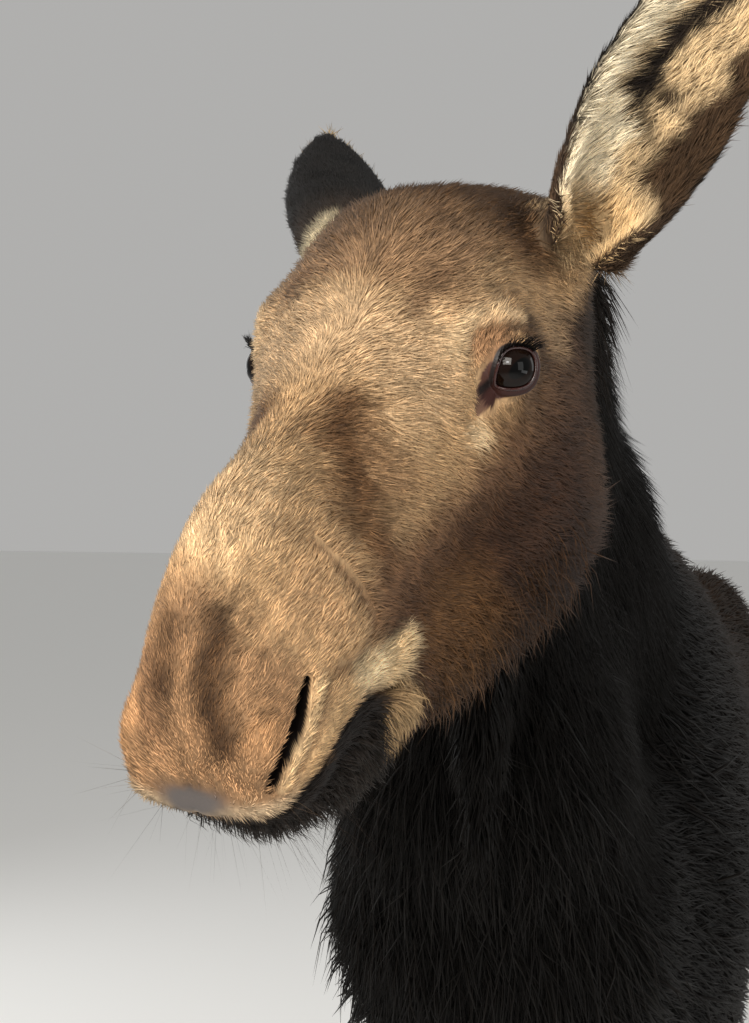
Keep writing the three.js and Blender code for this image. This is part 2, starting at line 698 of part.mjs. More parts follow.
// A dewclaw: a small horn cone behind the fetlock.
const DEWCLAW = {
  half: [12, 13.5, 31.5], // half its width, depth and length
  tilt: -24,
  from: [19, 43, -14], // from the fetlock to its middle: outwards, back and up
};
function dewclawSolid(leg, inner) {
  const foot = leg.points[leg.points.length - 2];
  const [out, back, up] = DEWCLAW.from;
  const cone = new THREE.SphereGeometry(1, 6, 4);
  cone.scale(...DEWCLAW.half);
  cone.rotateX(radians(DEWCLAW.tilt));
  cone.translate(foot[0] + (inner ? -1 : 1) * leg.side * out, foot[1] + back, foot[2] + up);
  return fromGeometry(cone);
}

const TAIL = [
  [0, 1140, 1372, 32, 30],
  [0, 1196, 1325, 30, 24],
  [0, 1212, 1262, 20, 15],
];
const TAIL_RINGS = [0, 0.35, 0.7, 1, 1.4, 1.8];
const TAIL_TIPS = [15, 40, 65]; // degrees, the rings that round off its end
const TASSEL_FILLET = 12; // of the tail and the bell
const TASSEL_SIDES = 10;
function tailSolid() {
  const field = (p) => limb(p, TAIL, TASSEL_FILLET);
  const ring = (t, lift = 0, w) => {
    const [a, b] = t < 1 ? [TAIL[0], TAIL[1]] : [TAIL[1], TAIL[2]];
    const s = t < 1 ? t : t - 1;
    const centre = vec(0, a[1] + (b[1] - a[1]) * s, a[2] + (b[2] - a[2]) * s);
    const along = vec(0, b[1] - a[1], b[2] - a[2]).normalize();
    return { ...ringIn({ centre, normal: along }), lift, w };
  };
  const down = vec(0, 0.2, -0.98);
  const rings = TAIL_RINGS.map((t) => ring(t));
  for (const lift of TAIL_TIPS) rings.push(ring(1.999, radians(lift), down));
  return around(field, rings, TASSEL_SIDES);
}

// The bell: a small flap of skin and long hair that hangs under the throat.
const BELL = [
  [37, -676, 1556, 20, 40],
  [36, -692, 1450, 16, 34],
  [35, -700, 1364, 10, 16],
];
const BELL_HEIGHTS = [1550, 1510, 1470, 1430, 1395, 1369];
const BELL_TIPS = [35, 65]; // degrees
const BELL_AXIS = { top: [37, -680], bottom: [35, -700] };
function bellSolid() {
  const field = (p) => limb(p, BELL, TASSEL_FILLET);
  const at = (z) => {
    const t = (BELL[0][2] - z) / (BELL[0][2] - BELL[2][2]);
    const [x, y] = BELL_AXIS.top.map((v, k) => v + (BELL_AXIS.bottom[k] - v) * t);
    return vec(x, y, z);
  };
  const flat = { u: vec(1, 0, 0), v: vec(0, 1, 0) };
  const rings = BELL_HEIGHTS.map((z) => ({ centre: at(z), ...flat }));
  const tip = rings[rings.length - 1];
  for (const lift of BELL_TIPS) rings.push({ ...tip, w: vec(0, 0, -1), lift: radians(lift) });
  return around(field, rings, TASSEL_SIDES);
}

// ---- assembly -----------------------------------------------------------------------------------

const COATS = {
  face: { color: 0x8a6a48, roughness: 0.95 },
  dark: { color: 0x2a221d, roughness: 0.95 },
  ear: { color: 0x74604a, roughness: 0.95 },
  shin: { color: 0x8d8171, roughness: 0.95 },
  eye: { color: 0x120c0a, roughness: 0.08 },
  horn: { color: 0x2a2623, roughness: 0.55 },
};
for (const coat of Object.values(COATS)) coat.metalness = 0;

const group = new THREE.Group();
group.name = "moose";
function add(name, made, coat) {
  const mesh = made.getMesh();
  const geometry = new THREE.BufferGeometry();
  geometry.setAttribute("position", new THREE.BufferAttribute(mesh.vertProperties, 3));
  geometry.setIndex(new THREE.BufferAttribute(mesh.triVerts, 1));
  geometry.computeVertexNormals();
  const node = new THREE.Mesh(geometry, new THREE.MeshStandardMaterial(COATS[coat]));
  node.name = name;
  group.add(node);
  return made;
}

function eyeball(side, swell = 0) {
  const ball = new THREE.SphereGeometry(EYE_RADIUS + swell, 12, 8);
  const { x, y, z } = inHead(side > 0 ? EYE_SPREAD : -EYE_SPREAD - RIGHT_BROW_OUT, 0, 0);
  return fromGeometry(ball.translate(x, y, z));
}

const headCutter = headSolid(PARTING);
const neckCutter = neckSolid(PARTING);
let head = headSolid();
for (const side of [1, -1]) head = head.subtract(eyeball(side, PARTING));
add("head", head, "face");
add("neck", neckSolid(), "dark");
const trunk = add("trunk", trunkSolid(), "dark");
for (const [hand, ear] of Object.entries(EARS)) {
  add(`eye_${hand}`, eyeball(ear.side), "eye");
  const made = earSolid(ear.side, earPlace(ear)).subtract(headCutter).subtract(neckCutter);
  add(`ear_${hand}`, biggest(made), "ear");
}
add("bell", biggest(bellSolid().subtract(neckCutter)), "dark");
for (const leg of LEGS) {
  const name = `${leg.fore ? "fore" : "hind"}leg_${leg.side > 0 ? "left" : "right"}`;
  add(name, legSolid(leg), "shin");
  const cutter = legSolid(leg, PARTING);
  for (const inner of [false, true]) {
    const which = inner ? "inner" : "outer";
    add(`${name}_toe_${which}`, toeSolid(leg, inner), "horn");
    add(`${name}_dewclaw_${which}`, dewclawSolid(leg, inner).subtract(cutter), "horn");
  }
}
add("tail", tailSolid().subtract(trunkSolid(PARTING)), "dark");

// The origin goes to the middle of the floor under the animal.
const box = new THREE.Box3().setFromObject(group);
const middle = box.getCenter(vec());
for (const node of group.children) node.geometry.translate(-middle.x, -middle.y, 0);

export default group;
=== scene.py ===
# A cow moose at life size, standing, in winter coat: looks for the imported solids.
# Metres in the row frame; head sizes are millimetres in the head's own frame
# (x to its left, y back to the neck, z up through the forehead, zero midway between the eyes).
import math

import bmesh
import bpy
import numpy as np
from mathutils import Matrix, Vector
from mathutils.bvhtree import BVHTree


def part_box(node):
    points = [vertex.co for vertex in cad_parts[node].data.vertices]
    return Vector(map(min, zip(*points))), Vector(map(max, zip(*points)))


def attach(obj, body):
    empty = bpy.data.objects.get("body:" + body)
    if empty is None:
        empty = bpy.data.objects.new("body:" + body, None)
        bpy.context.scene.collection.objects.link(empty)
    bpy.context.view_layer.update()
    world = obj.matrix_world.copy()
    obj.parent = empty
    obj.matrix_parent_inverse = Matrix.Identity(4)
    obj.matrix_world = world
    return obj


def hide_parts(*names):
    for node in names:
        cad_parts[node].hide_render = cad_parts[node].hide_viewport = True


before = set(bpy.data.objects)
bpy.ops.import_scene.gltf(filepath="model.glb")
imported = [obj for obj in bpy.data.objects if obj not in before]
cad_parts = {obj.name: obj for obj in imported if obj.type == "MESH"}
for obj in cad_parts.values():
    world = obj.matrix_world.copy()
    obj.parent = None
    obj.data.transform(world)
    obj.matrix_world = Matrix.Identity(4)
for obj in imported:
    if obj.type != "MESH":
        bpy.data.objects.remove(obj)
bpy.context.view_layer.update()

# ---- the head's own frame ----------------------------------------------------------------------
# Face, eyes, lids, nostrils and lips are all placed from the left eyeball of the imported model
# and the way the head is turned, nodded and leaned.
HEAD_TURN, HEAD_NOD, HEAD_LEAN = -14.5, 35.5, 3.2  # degrees
EYE_SPREAD = 87.0  # mm from the head's middle plane to the left eye
RIGHT_BROW_OUT = 5.0  # mm that the right eye and the brow round it stand farther out


def node_centre(node):
    low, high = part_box(node)
    return (np.array(low) + np.array(high)) / 2


head_axes = np.array(
    Matrix.Rotation(math.radians(HEAD_TURN), 3, "Z")
    @ Matrix.Rotation(math.radians(HEAD_NOD), 3, "X")
    @ Matrix.Rotation(math.radians(HEAD_LEAN), 3, "Y")
)
eyes_middle = node_centre("eye_left") - head_axes[:, 0] * EYE_SPREAD / 1000


def to_head(points):
    """Places in the row's frame as millimetres in the head's own frame."""
    return (points - eyes_middle) @ head_axes * 1000


def from_head(places):
    """Places in the head's own frame as metres in the row's frame."""
    return np.asarray(places, float) / 1000 @ head_axes.T + eyes_middle


def ease(low, high, value):
    """0 below low, 1 above high, smooth between."""
    t = np.clip((value - low) / (high - low), 0, 1)
    return t * t * (3 - 2 * t)


def right_out(places):
    """How much farther out the right side of the head stands: most round its eye."""
    away = np.hypot(places[:, 1] - 5, places[:, 2] - 15)
    return RIGHT_BROW_OUT * ease(110, 40, away) * np.clip(-places[:, 0] / 40, 0, 1)


def mirrored(places):
    """The same places all on the left, because otherwise both sides of the head are alike."""
    return np.column_stack([np.abs(places[:, 0] + right_out(places)), places[:, 1:]])


# ---- the skin ----------------------------------------------------------------------------------
# One hide over head, neck, trunk, ears, bell, tail and legs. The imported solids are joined, made one
# surface, smoothed, and let in by the depth of the coat, so that the hair ends where they end.
FLESH = ["head", "neck", "trunk", "ear_left", "ear_right", "bell", "tail"]
LEGS = ["foreleg_left", "foreleg_right", "hindleg_left", "hindleg_right"]
FLESH += LEGS
EYES = ["eye_left", "eye_right"]
WELD = 1e-5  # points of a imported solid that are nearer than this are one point
OVERLAP = 0.0006  # each solid grows this much, to close the partings
SKIN_CELL = 0.0042  # how fine the joined surface is
SKIN_FACES = 146000


def flesh_mesh():
    """All flesh solids and the eyeballs in one mesh, and which solid each face is from."""
    joined = bmesh.new()
    owners = []
    for node in FLESH + EYES:
        index = FLESH.index("head" if node in EYES else node)
        part = bmesh.new()
        part.from_mesh(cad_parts[node].data)
        bmesh.ops.remove_doubles(part, verts=part.verts, dist=WELD)
        part.normal_update()
        for vertex in part.verts:
            vertex.co += vertex.normal * OVERLAP
        copy = bpy.data.meshes.new(node + "_copy")
        part.to_mesh(copy)
        part.free()
        joined.from_mesh(copy)
        owners += [index] * (len(joined.faces) - len(owners))
        bpy.data.meshes.remove(copy)
    mesh = bpy.data.meshes.new("flesh")
    joined.to_mesh(mesh)
    joined.free()
    return mesh, np.array(owners)


def around_place(places, centre, radii):
    """1 at a centre, fading to 0 at the radii, for soft patches."""
    away = np.linalg.norm((places - np.array(centre)) / np.array(radii), axis=1)
    return 1 - ease(0.35, 1.0, away)


def modified(obj):
    """The object with its modifiers applied to its mesh."""
    graph = bpy.context.evaluated_depsgraph_get()
    mesh = bpy.data.meshes.new_from_object(obj.evaluated_get(graph))
    obj.modifiers.clear()
    obj.data = mesh
    return obj


def shade_smooth(mesh):
    mesh.polygons.foreach_set("use_smooth", np.ones(len(mesh.polygons), bool))


def vertex_array(mesh):
    found = np.empty(len(mesh.vertices) * 3, np.float32)
    mesh.vertices.foreach_get("co", found)
    return found.reshape(-1, 3).astype(float)


def corner_array(mesh):
    mesh.calc_loop_triangles()
    found = np.empty(len(mesh.loop_triangles) * 3, np.int32)
    mesh.loop_triangles.foreach_get("vertices", found)
    return found.reshape(-1, 3)


def vertex_normals(points, corners):
    """Normals of the points, weighted by the areas of their triangles."""
    a, b, c = (points[corners[:, k]] for k in range(3))
    across = np.cross(b - a, c - a)
    normals = np.zeros_like(points)
    for k in range(3):
        for axis in range(3):
            normals[:, axis] += np.bincount(corners[:, k], across[:, axis], len(points))
    return normals / np.maximum(np.linalg.norm(normals, axis=1, keepdims=True), 1e-12)


def spread(values, edges, passes, share=0.5):
    """Each point's values move towards its neighbours' mean. share may differ by point and pass."""
    a, b = edges[:, 0], edges[:, 1]
    columns = values.reshape(len(values), -1).T.copy()
    count = np.maximum(np.bincount(edges.ravel(), minlength=len(values)), 1)
    for turn in range(passes):
        step = share(turn) if callable(share) else share
        for column in columns:
            total = np.bincount(a, column[b], len(count)) + np.bincount(b, column[a], len(count))
            column += (total / count - column) * step
    return columns.T.reshape(values.shape)


def edge_array(mesh):
    found = np.empty(len(mesh.edges) * 2, np.int32)
    mesh.edges.foreach_get("vertices", found)
    return found.reshape(-1, 2)


flesh, face_owner = flesh_mesh()
owner_tree = BVHTree.FromPolygons(
    [v.co for v in flesh.vertices], [list(p.vertices) for p in flesh.polygons]
)


def part_of(points):
    """Which flesh solid each point is nearest to, as an index in FLESH."""
    return np.array([face_owner[owner_tree.find_nearest(p)[2]] for p in points])


skin = bpy.data.objects.new("skin", flesh)
bpy.context.collection.objects.link(skin)
remesh = skin.modifiers.new("one surface", "REMESH")
remesh.mode = "VOXEL"
remesh.voxel_size = SKIN_CELL
modified(skin)
places = vertex_array(skin.data)
edges = edge_array(skin.data)
part = part_of(places)

# How many smoothing passes take the facets off each solid, and how deep its coat is, in mm.
PASSES = {"head": 26, "neck": 110, "trunk": 150, "ear": 6, "bell": 12, "tail": 14, "leg": 24}
COAT_DEPTH = {"head": 1.8, "neck": 14, "trunk": 11, "ear": 0.2, "bell": 6, "tail": 8, "leg": 4}


def by_part(table, part):
    """Each point's value from a table by solid, where "ear" stands for both ears."""
    return np.array([next(v for k, v in table.items() if k in node) for node in FLESH], float)[part]


passes = spread(by_part(PASSES, part), edges, 12)
places = spread(places, edges, int(passes.max()), lambda turn: 0.5 * (passes > turn))


def coat_depth(points, part):
    """The coat's depth over the skin, in metres: deepest on neck and jaw, least on nose and lids."""
    depth = by_part(COAT_DEPTH, part)
    h = mirrored(to_head(points))
    on_head = part == FLESH.index("head")
    head = COAT_DEPTH["head"] + 3.2 * ease(10, 110, h[:, 1]) * ease(-40, 60, h[:, 2])
    head += 6 * ease(-120, -190, h[:, 2]) * ease(-230, -120, h[:, 1])
    head += 3 * ease(-105, -140, h[:, 2]) * ease(-190, -240, h[:, 1])
    head -= 1.3 * ease(-170, -225, h[:, 1]) * ease(-115, -95, h[:, 2])
    head -= 1.0 * around_place(h, (90, -10, 0), (55, 55, 50))
    return np.where(on_head, head, depth) / 1000


corners = corner_array(skin.data)
depth = spread(coat_depth(places, part), edges, 30)
places -= vertex_normals(places, corners) * depth[:, None]
skin.data.vertices.foreach_set("co", places.astype(np.float32).ravel())

# The body can do with far fewer faces than the head and ears.
thinned = skin.vertex_groups.new(name="thinned")
keep_fine = {FLESH.index(n) for n in ("head", "ear_left", "ear_right", "bell")}
coarse = np.flatnonzero(~np.isin(part, list(keep_fine)))
thinned.add([int(i) for i in coarse], 1.0, "ADD")
fewer = skin.modifiers.new("fewer faces", "DECIMATE")
fewer.ratio = SKIN_FACES / len(corners)
fewer.vertex_group = "thinned"
modified(skin)


# ---- eye openings, nostrils and lips -----------------------------------------------------------
# The skin is cut finer round the eyes, nose and mouth, then drawn over the eyeballs as lids, sunk
# at the nostrils, the mouth and the creases, and raised at the lips and the pads of the muzzle.
EYE_PLACE = to_head(node_centre("eye_left")[None])[0]
EYE_RADIUS = 20.0
EYE_FACES = np.array([0.73, -0.57, 0.37])  # the way the opening looks
OPEN_FRONT, OPEN_REAR, OPEN_UP, OPEN_DOWN = 58, 47, 42, 41  # degrees from its middle to the lids
FRONT_SHARP, REAR_SHARP = 1.7, 2.1  # how pointed its corners are: 2 is an oval
LID = 1.5  # thickness of a lid at its edge
NOSTRIL = [(53, -260, -46), (53, -270, -52), (52, -280, -59), (52, -291, -64), (55, -303, -66)]
NOSTRIL += [(54, -312, -70), (50, -318, -77)]
NOSTRIL_WING = [(56, -254, -52), (57, -268, -62), (57, -282, -70), (58, -298, -74), (56, -311, -80)]
MOUTH = [(52, -178, -124), (53, -204, -110), (56, -232, -98), (57, -262, -95), (56, -284, -94)]
MOUTH += [(49, -310, -96), (31, -320, -99), (0, -324, -100)]
UPPER_LIP = [(55, -160, -104), (52, -188, -99), (57, -218, -84), (60, -250, -78), (58, -280, -82)]
UPPER_LIP += [(53, -304, -88), (45, -321, -88), (22, -326, -89), (0, -328, -88)]
LOWER_LIP = [(52, -225, -118), (50, -262, -114), (40, -292, -112), (20, -302, -114), (0, -306, -114)]
PAD_CREASE = [(45, -198, 4), (50, -191, -20), (55, -186, -46), (55, -184, -72), (56, -204, -79)]
PAD_CREASE += [(58, -238, -60)]
TEAR_DUCT = [(85, -24, 6), (82, -33, 2), (80, -42, -1), (79, -50, -5)]
DARK_CORNER = [(-8, 20), (-37, 5), (-46, -9), (-12, -10)]  # y and z round the bare corner
LID_FOLD = [(76, -40, 18), (81, -31, 31), (86, -20, 36), (91, -8, 32), (92, 13, 21), (90, 33, 5)]
BROW_FOLD = [(68, -37, 37), (72, -21, 46), (79, -6, 43), (86, 1, 38), (92, 12, 30), (90, 29, 16)]
FACE_CREST = [(82, -60, -40), (72, -110, -60)]
NOSE_SIDE = [(42, -95, 22), (46, -175, -2)]
PHILTRUM = [(0, -326, -74), (0, -328, -97)]


def laid(path, step=4.0):
    """The same path laid on the left of the skin, with a point every few millimetres."""
    found = []
    for start, end in zip(path, path[1:]):
        count = max(1, round(math.dist(start, end) / step))
        found += [np.array(start) + (np.array(end) - start) * k / count for k in range(count)]
    found.append(np.array(path[-1]))
    near = [np.array(skin_tree.find_nearest(Vector(p))[0]) for p in from_head(found)]
    return to_head(np.array(near))


def path_distance(places, path):
    """How far each place is from a path, and how far along the path, from 0 to 1."""
    nearest = np.full(len(places), np.inf)
    along = np.zeros(len(places))
    for index, (start, end) in enumerate(zip(path, path[1:])):
        start, way = np.array(start, float), np.subtract(end, start).astype(float)
        t = np.clip((places - start) @ way / (way @ way), 0, 1)
        away = np.linalg.norm(places - start - t[:, None] * way, axis=1)
        closer = away < nearest
        nearest[closer] = away[closer]
        along[closer] = (index + t[closer]) / (len(path) - 1)
    return nearest, along


def fold(places, path, radius):
    """1 on a path, falling smoothly to 0 at the radius."""
    away, _ = path_distance(places, path)
    return np.clip(1 - (away / radius) ** 2, 0, 1) ** 2


def cut_finer(mesh, near, rounds):
    """Cuts the edges near the features in half, a few rounds."""
    shape = bmesh.new()
    shape.from_mesh(mesh)
    for _ in range(rounds):
        points = np.array([v.co for v in shape.verts])
        chosen = near(mirrored(to_head(points)))
        ends = [e for e in shape.edges if chosen[e.verts[0].index] and chosen[e.verts[1].index]]
        bmesh.ops.subdivide_edges(shape, edges=ends, cuts=1, use_grid_fill=True)
        shape.verts.index_update()
    bmesh.ops.triangulate(shape, faces=shape.faces)
    shape.to_mesh(mesh)
    shape.free()


def drop_crumbs(mesh, least):
    """Removes loose scraps of fewer points than that."""
    shape = bmesh.new()
    shape.from_mesh(mesh)
    seen = set()
    scraps = []
    for first in shape.verts:
        if first in seen:
            continue
        seen.add(first)
        island = [first]
        for vertex in island:
            for edge in vertex.link_edges:
                other = edge.other_vert(vertex)
                if other not in seen:
                    seen.add(other)
                    island.append(other)
        if len(island) < least:
            scraps += island
    bmesh.ops.delete(shape, geom=scraps, context="VERTS")
    shape.to_mesh(mesh)
    shape.free()


def close_to_features(reach):
    """A test for being that near to an eye's opening, a nostril or the mouth, in mm."""

    def near(h):
        lids = np.linalg.norm(h - EYE_PLACE - 14 * EYE_FACES, axis=1) < 25 + reach
        lids |= path_distance(h, TEAR_DUCT)[0] < 8 + reach
        nose = path_distance(h, NOSTRIL)[0] < 6 + reach
        return lids | nose | (path_distance(h, MOUTH)[0] < reach)

    return near


drop_crumbs(skin.data, 200)
cut_finer(skin.data, close_to_features(14), 1)
cut_finer(skin.data, close_to_features(5), 1)
places = vertex_array(skin.data)
corners = corner_array(skin.data)
edges = edge_array(skin.data)
skin_tree = BVHTree.FromPolygons([Vector(p) for p in places], corners.tolist())

# The paths are laid on the skin before it is carved.
NOSTRIL, NOSTRIL_WING, MOUTH, UPPER_LIP, LOWER_LIP, PAD_CREASE = (
    laid(path) for path in (NOSTRIL, NOSTRIL_WING, MOUTH, UPPER_LIP, LOWER_LIP, PAD_CREASE)
)
TEAR_DUCT, LID_FOLD, BROW_FOLD, FACE_CREST, NOSE_SIDE, PHILTRUM = (
    laid(path) for path in (TEAR_DUCT, LID_FOLD, BROW_FOLD, FACE_CREST, NOSE_SIDE, PHILTRUM)
)
zone = close_to_features(22)(mirrored(to_head(places)))
places = spread(places, edges, 4, 0.5 * zone)

# Raised along each path by so many mm, or sunk where it is below 0, and how far to its sides.
RELIEF = [
    (UPPER_LIP, 3.0, 10),
    (NOSTRIL_WING, 2.4, 7),
    (LOWER_LIP, 2.2, 9),
    (FACE_CREST, 2.0, 18),
    (BROW_FOLD, 1.2, 12),
    (LID_FOLD, -2.0, 6),
    (MOUTH, -7.5, 5.5),
    (PAD_CREASE, -3.6, 8),
    (TEAR_DUCT, -1.8, 10),
    (NOSE_SIDE, -2.0, 24),
    (PHILTRUM, -1.6, 4),
]

FAR_OUT = 9.0  # stands for any place behind the eye
face_axis = EYE_FACES / np.linalg.norm(EYE_FACES)
rearward = np.array([0, 1, 0]) - face_axis * face_axis[1]
rearward /= np.linalg.norm(rearward)
upward = np.cross(face_axis, rearward)


def lid_edge(wide, high):
    """How far out of the opening a place is, by its degrees rearward and up: 1 at the lids' edge."""
    reach = np.where(wide < 0, OPEN_FRONT, OPEN_REAR)
    tall = np.where(high > 0, OPEN_UP, OPEN_DOWN)
    sharp = np.where(wide < 0, FRONT_SHARP, REAR_SHARP)
    return ((np.abs(wide) / reach) ** sharp + (np.abs(high) / tall) ** 2) ** 0.5


def eye_opening(m):
    """Distance from the eyeball's middle, how far out of the opening, and degrees up."""
    out = m - EYE_PLACE
    away = np.linalg.norm(out, axis=1)
    out = out / np.maximum(away, 1e-6)[:, None]
    ahead = out @ face_axis
    wide = np.degrees(np.arctan2(out @ rearward, ahead))
    high = np.degrees(np.arctan2(out @ upward, ahead))
    edge = lid_edge(wide, high) + 0.9 * ease(0.4, 0.05, ahead)
    return away, np.where(ahead > 0.05, edge, FAR_OUT), high


def carve_face(places, corners):
    """The skin's points carved to lids, lips, nostrils and creases, and how deep in a nostril."""
    h = to_head(places)
    m = mirrored(h)
    normals = vertex_normals(places, corners) @ head_axes
    side = np.where(h[:, 0] < 0, -1.0, 1.0)[:, None] * [1, 0, 0] + [0, 1, 1]
    farther = right_out(h)[:, None] * [1, 0, 0]
    raised = 2.6 * around_place(m, (52, -226, -38), (26, 30, 40))
    for path, amount, radius in RELIEF:
        raised += amount * fold(m, path, radius)
    h = h + normals * raised[:, None]
    # The nostrils: slits, widest midway, that run back and in.
    m = mirrored(h)
    away, along = path_distance(m, NOSTRIL)
    width = 2.4 + 3.1 * np.sin(math.pi * np.clip(along, 0, 1)) ** 0.8
    sunk = np.clip(1.3 - (away / width) ** 2, 0, 1) * (10 + 9 * np.sin(math.pi * along))
    inward = np.array([-0.62, 0.78, 0.06]) * side
    h = h + inward * sunk[:, None]
    # The lids: a shell over the ball out from their edge, with a roll, and a groove over the roll.
    m = mirrored(h)
    away, edge, high = eye_opening(m)
    shell = EYE_RADIUS + LID + 0.9 * np.exp(-(((edge - 1.3) / 0.15) ** 2))
    shell -= 1.3 * np.exp(-(((edge - 1.62) / 0.12) ** 2)) * (high > 0)
    inside = EYE_RADIUS - 2.4
    wanted = inside + (shell - inside) * ease(0.93, 1.02, edge)
    drawn = (1 - ease(1.3, 1.95, edge)) * ease(48, 40, away)
    radius = away + (wanted - away) * drawn
    m = EYE_PLACE + (m - EYE_PLACE) * (radius / np.maximum(away, 1e-6))[:, None]
    return from_head(m * side - farther), sunk


places, nostril_depth = carve_face(places, corners)
places = spread(places, edges, 2, 0.4 * zone)
skin.data.vertices.foreach_set("co", places.astype(np.float32).ravel())
shade_smooth(skin.data)
skin.data.update()
skin_tree = BVHTree.FromPolygons([Vector(p) for p in places], corners.tolist())
TEAR_DUCT, LID_FOLD, BROW_FOLD = (laid(path) for path in (TEAR_DUCT, LID_FOLD, BROW_FOLD))


# ---- markings and painted shade ----------------------------------------------------------------
# A young cow in winter: a tan face with a paler bridge and brows, brown poll, dark cheeks and
# jaw, near black neck and trunk, grey-brown legs. Painted shade deepens the cheeks, jaw, neck, ear
# backs, the bridge's sides, creases and nostrils, and a painted highlight lies on the brow ridge.
# Skin and tufts read the same colours.
BROW_Y = [-308, -255, -185, -110, -35, 50, 150]
BROW_Z = [-4, 42, 53, 52, 70, 86, 62]  # the face's middle line, from nose to poll
# Painted shade: darker bands down the sides of the bridge.
BRIDGE_PAINTED_SHADE = [(24, -120, 36), (34, -142, 18), (46, -160, -8), (54, -160, -40)]  # darker bands
MUZZLE_STREAK = [(21, -280, 5), (20, -292, -8), (20, -303, -22), (23, -311, -36), (28, -317, -50)]
MUZZLE_STREAK_RIGHT = [(-2, -292, 12), (-3, -301, -2), (-5, -308, -16)]
MOUTH_Y = [-322, -282, -232, -204, -178]
MOUTH_Z = [-94, -86, -91, -109, -129]  # the pale lip ends here and the dark chin begins


def linear(code):
    """An sRGB hex code as linear red, green, blue and 1."""
    parts = [int(code[k : k + 2], 16) / 255 for k in (1, 3, 5)]
    return (*(p / 12.92 if p <= 0.04045 else ((p + 0.055) / 1.055) ** 2.4 for p in parts), 1.0)


def paint(colours, code, amount):
    """The colours moved towards a hex colour by an amount for each point."""
    return colours + (np.array(linear(code)[:3]) - colours) * np.clip(amount, 0, 1)[:, None]


def hump(value, middle, reach):
    """1 at the middle, falling to 0 that far on either side."""
    return np.clip(1 - ((value - middle) / reach) ** 2, 0, 1)


def ripple(points, size, seed):
    """Smooth random waves of about that size, from about -1 to 1."""
    rng = np.random.default_rng(seed)
    ways = rng.normal(size=(9, 3))
    ways *= (2 * math.pi / size) * rng.uniform(0.6, 1.5, (9, 1)) / np.linalg.norm(
        ways, axis=1, keepdims=True
    )
    return np.sin(points @ ways.T + rng.uniform(0, 2 * math.pi, 9)).sum(1) / 4.2


def flat_colour(code, count):
    return np.tile(linear(code)[:3], (count, 1))


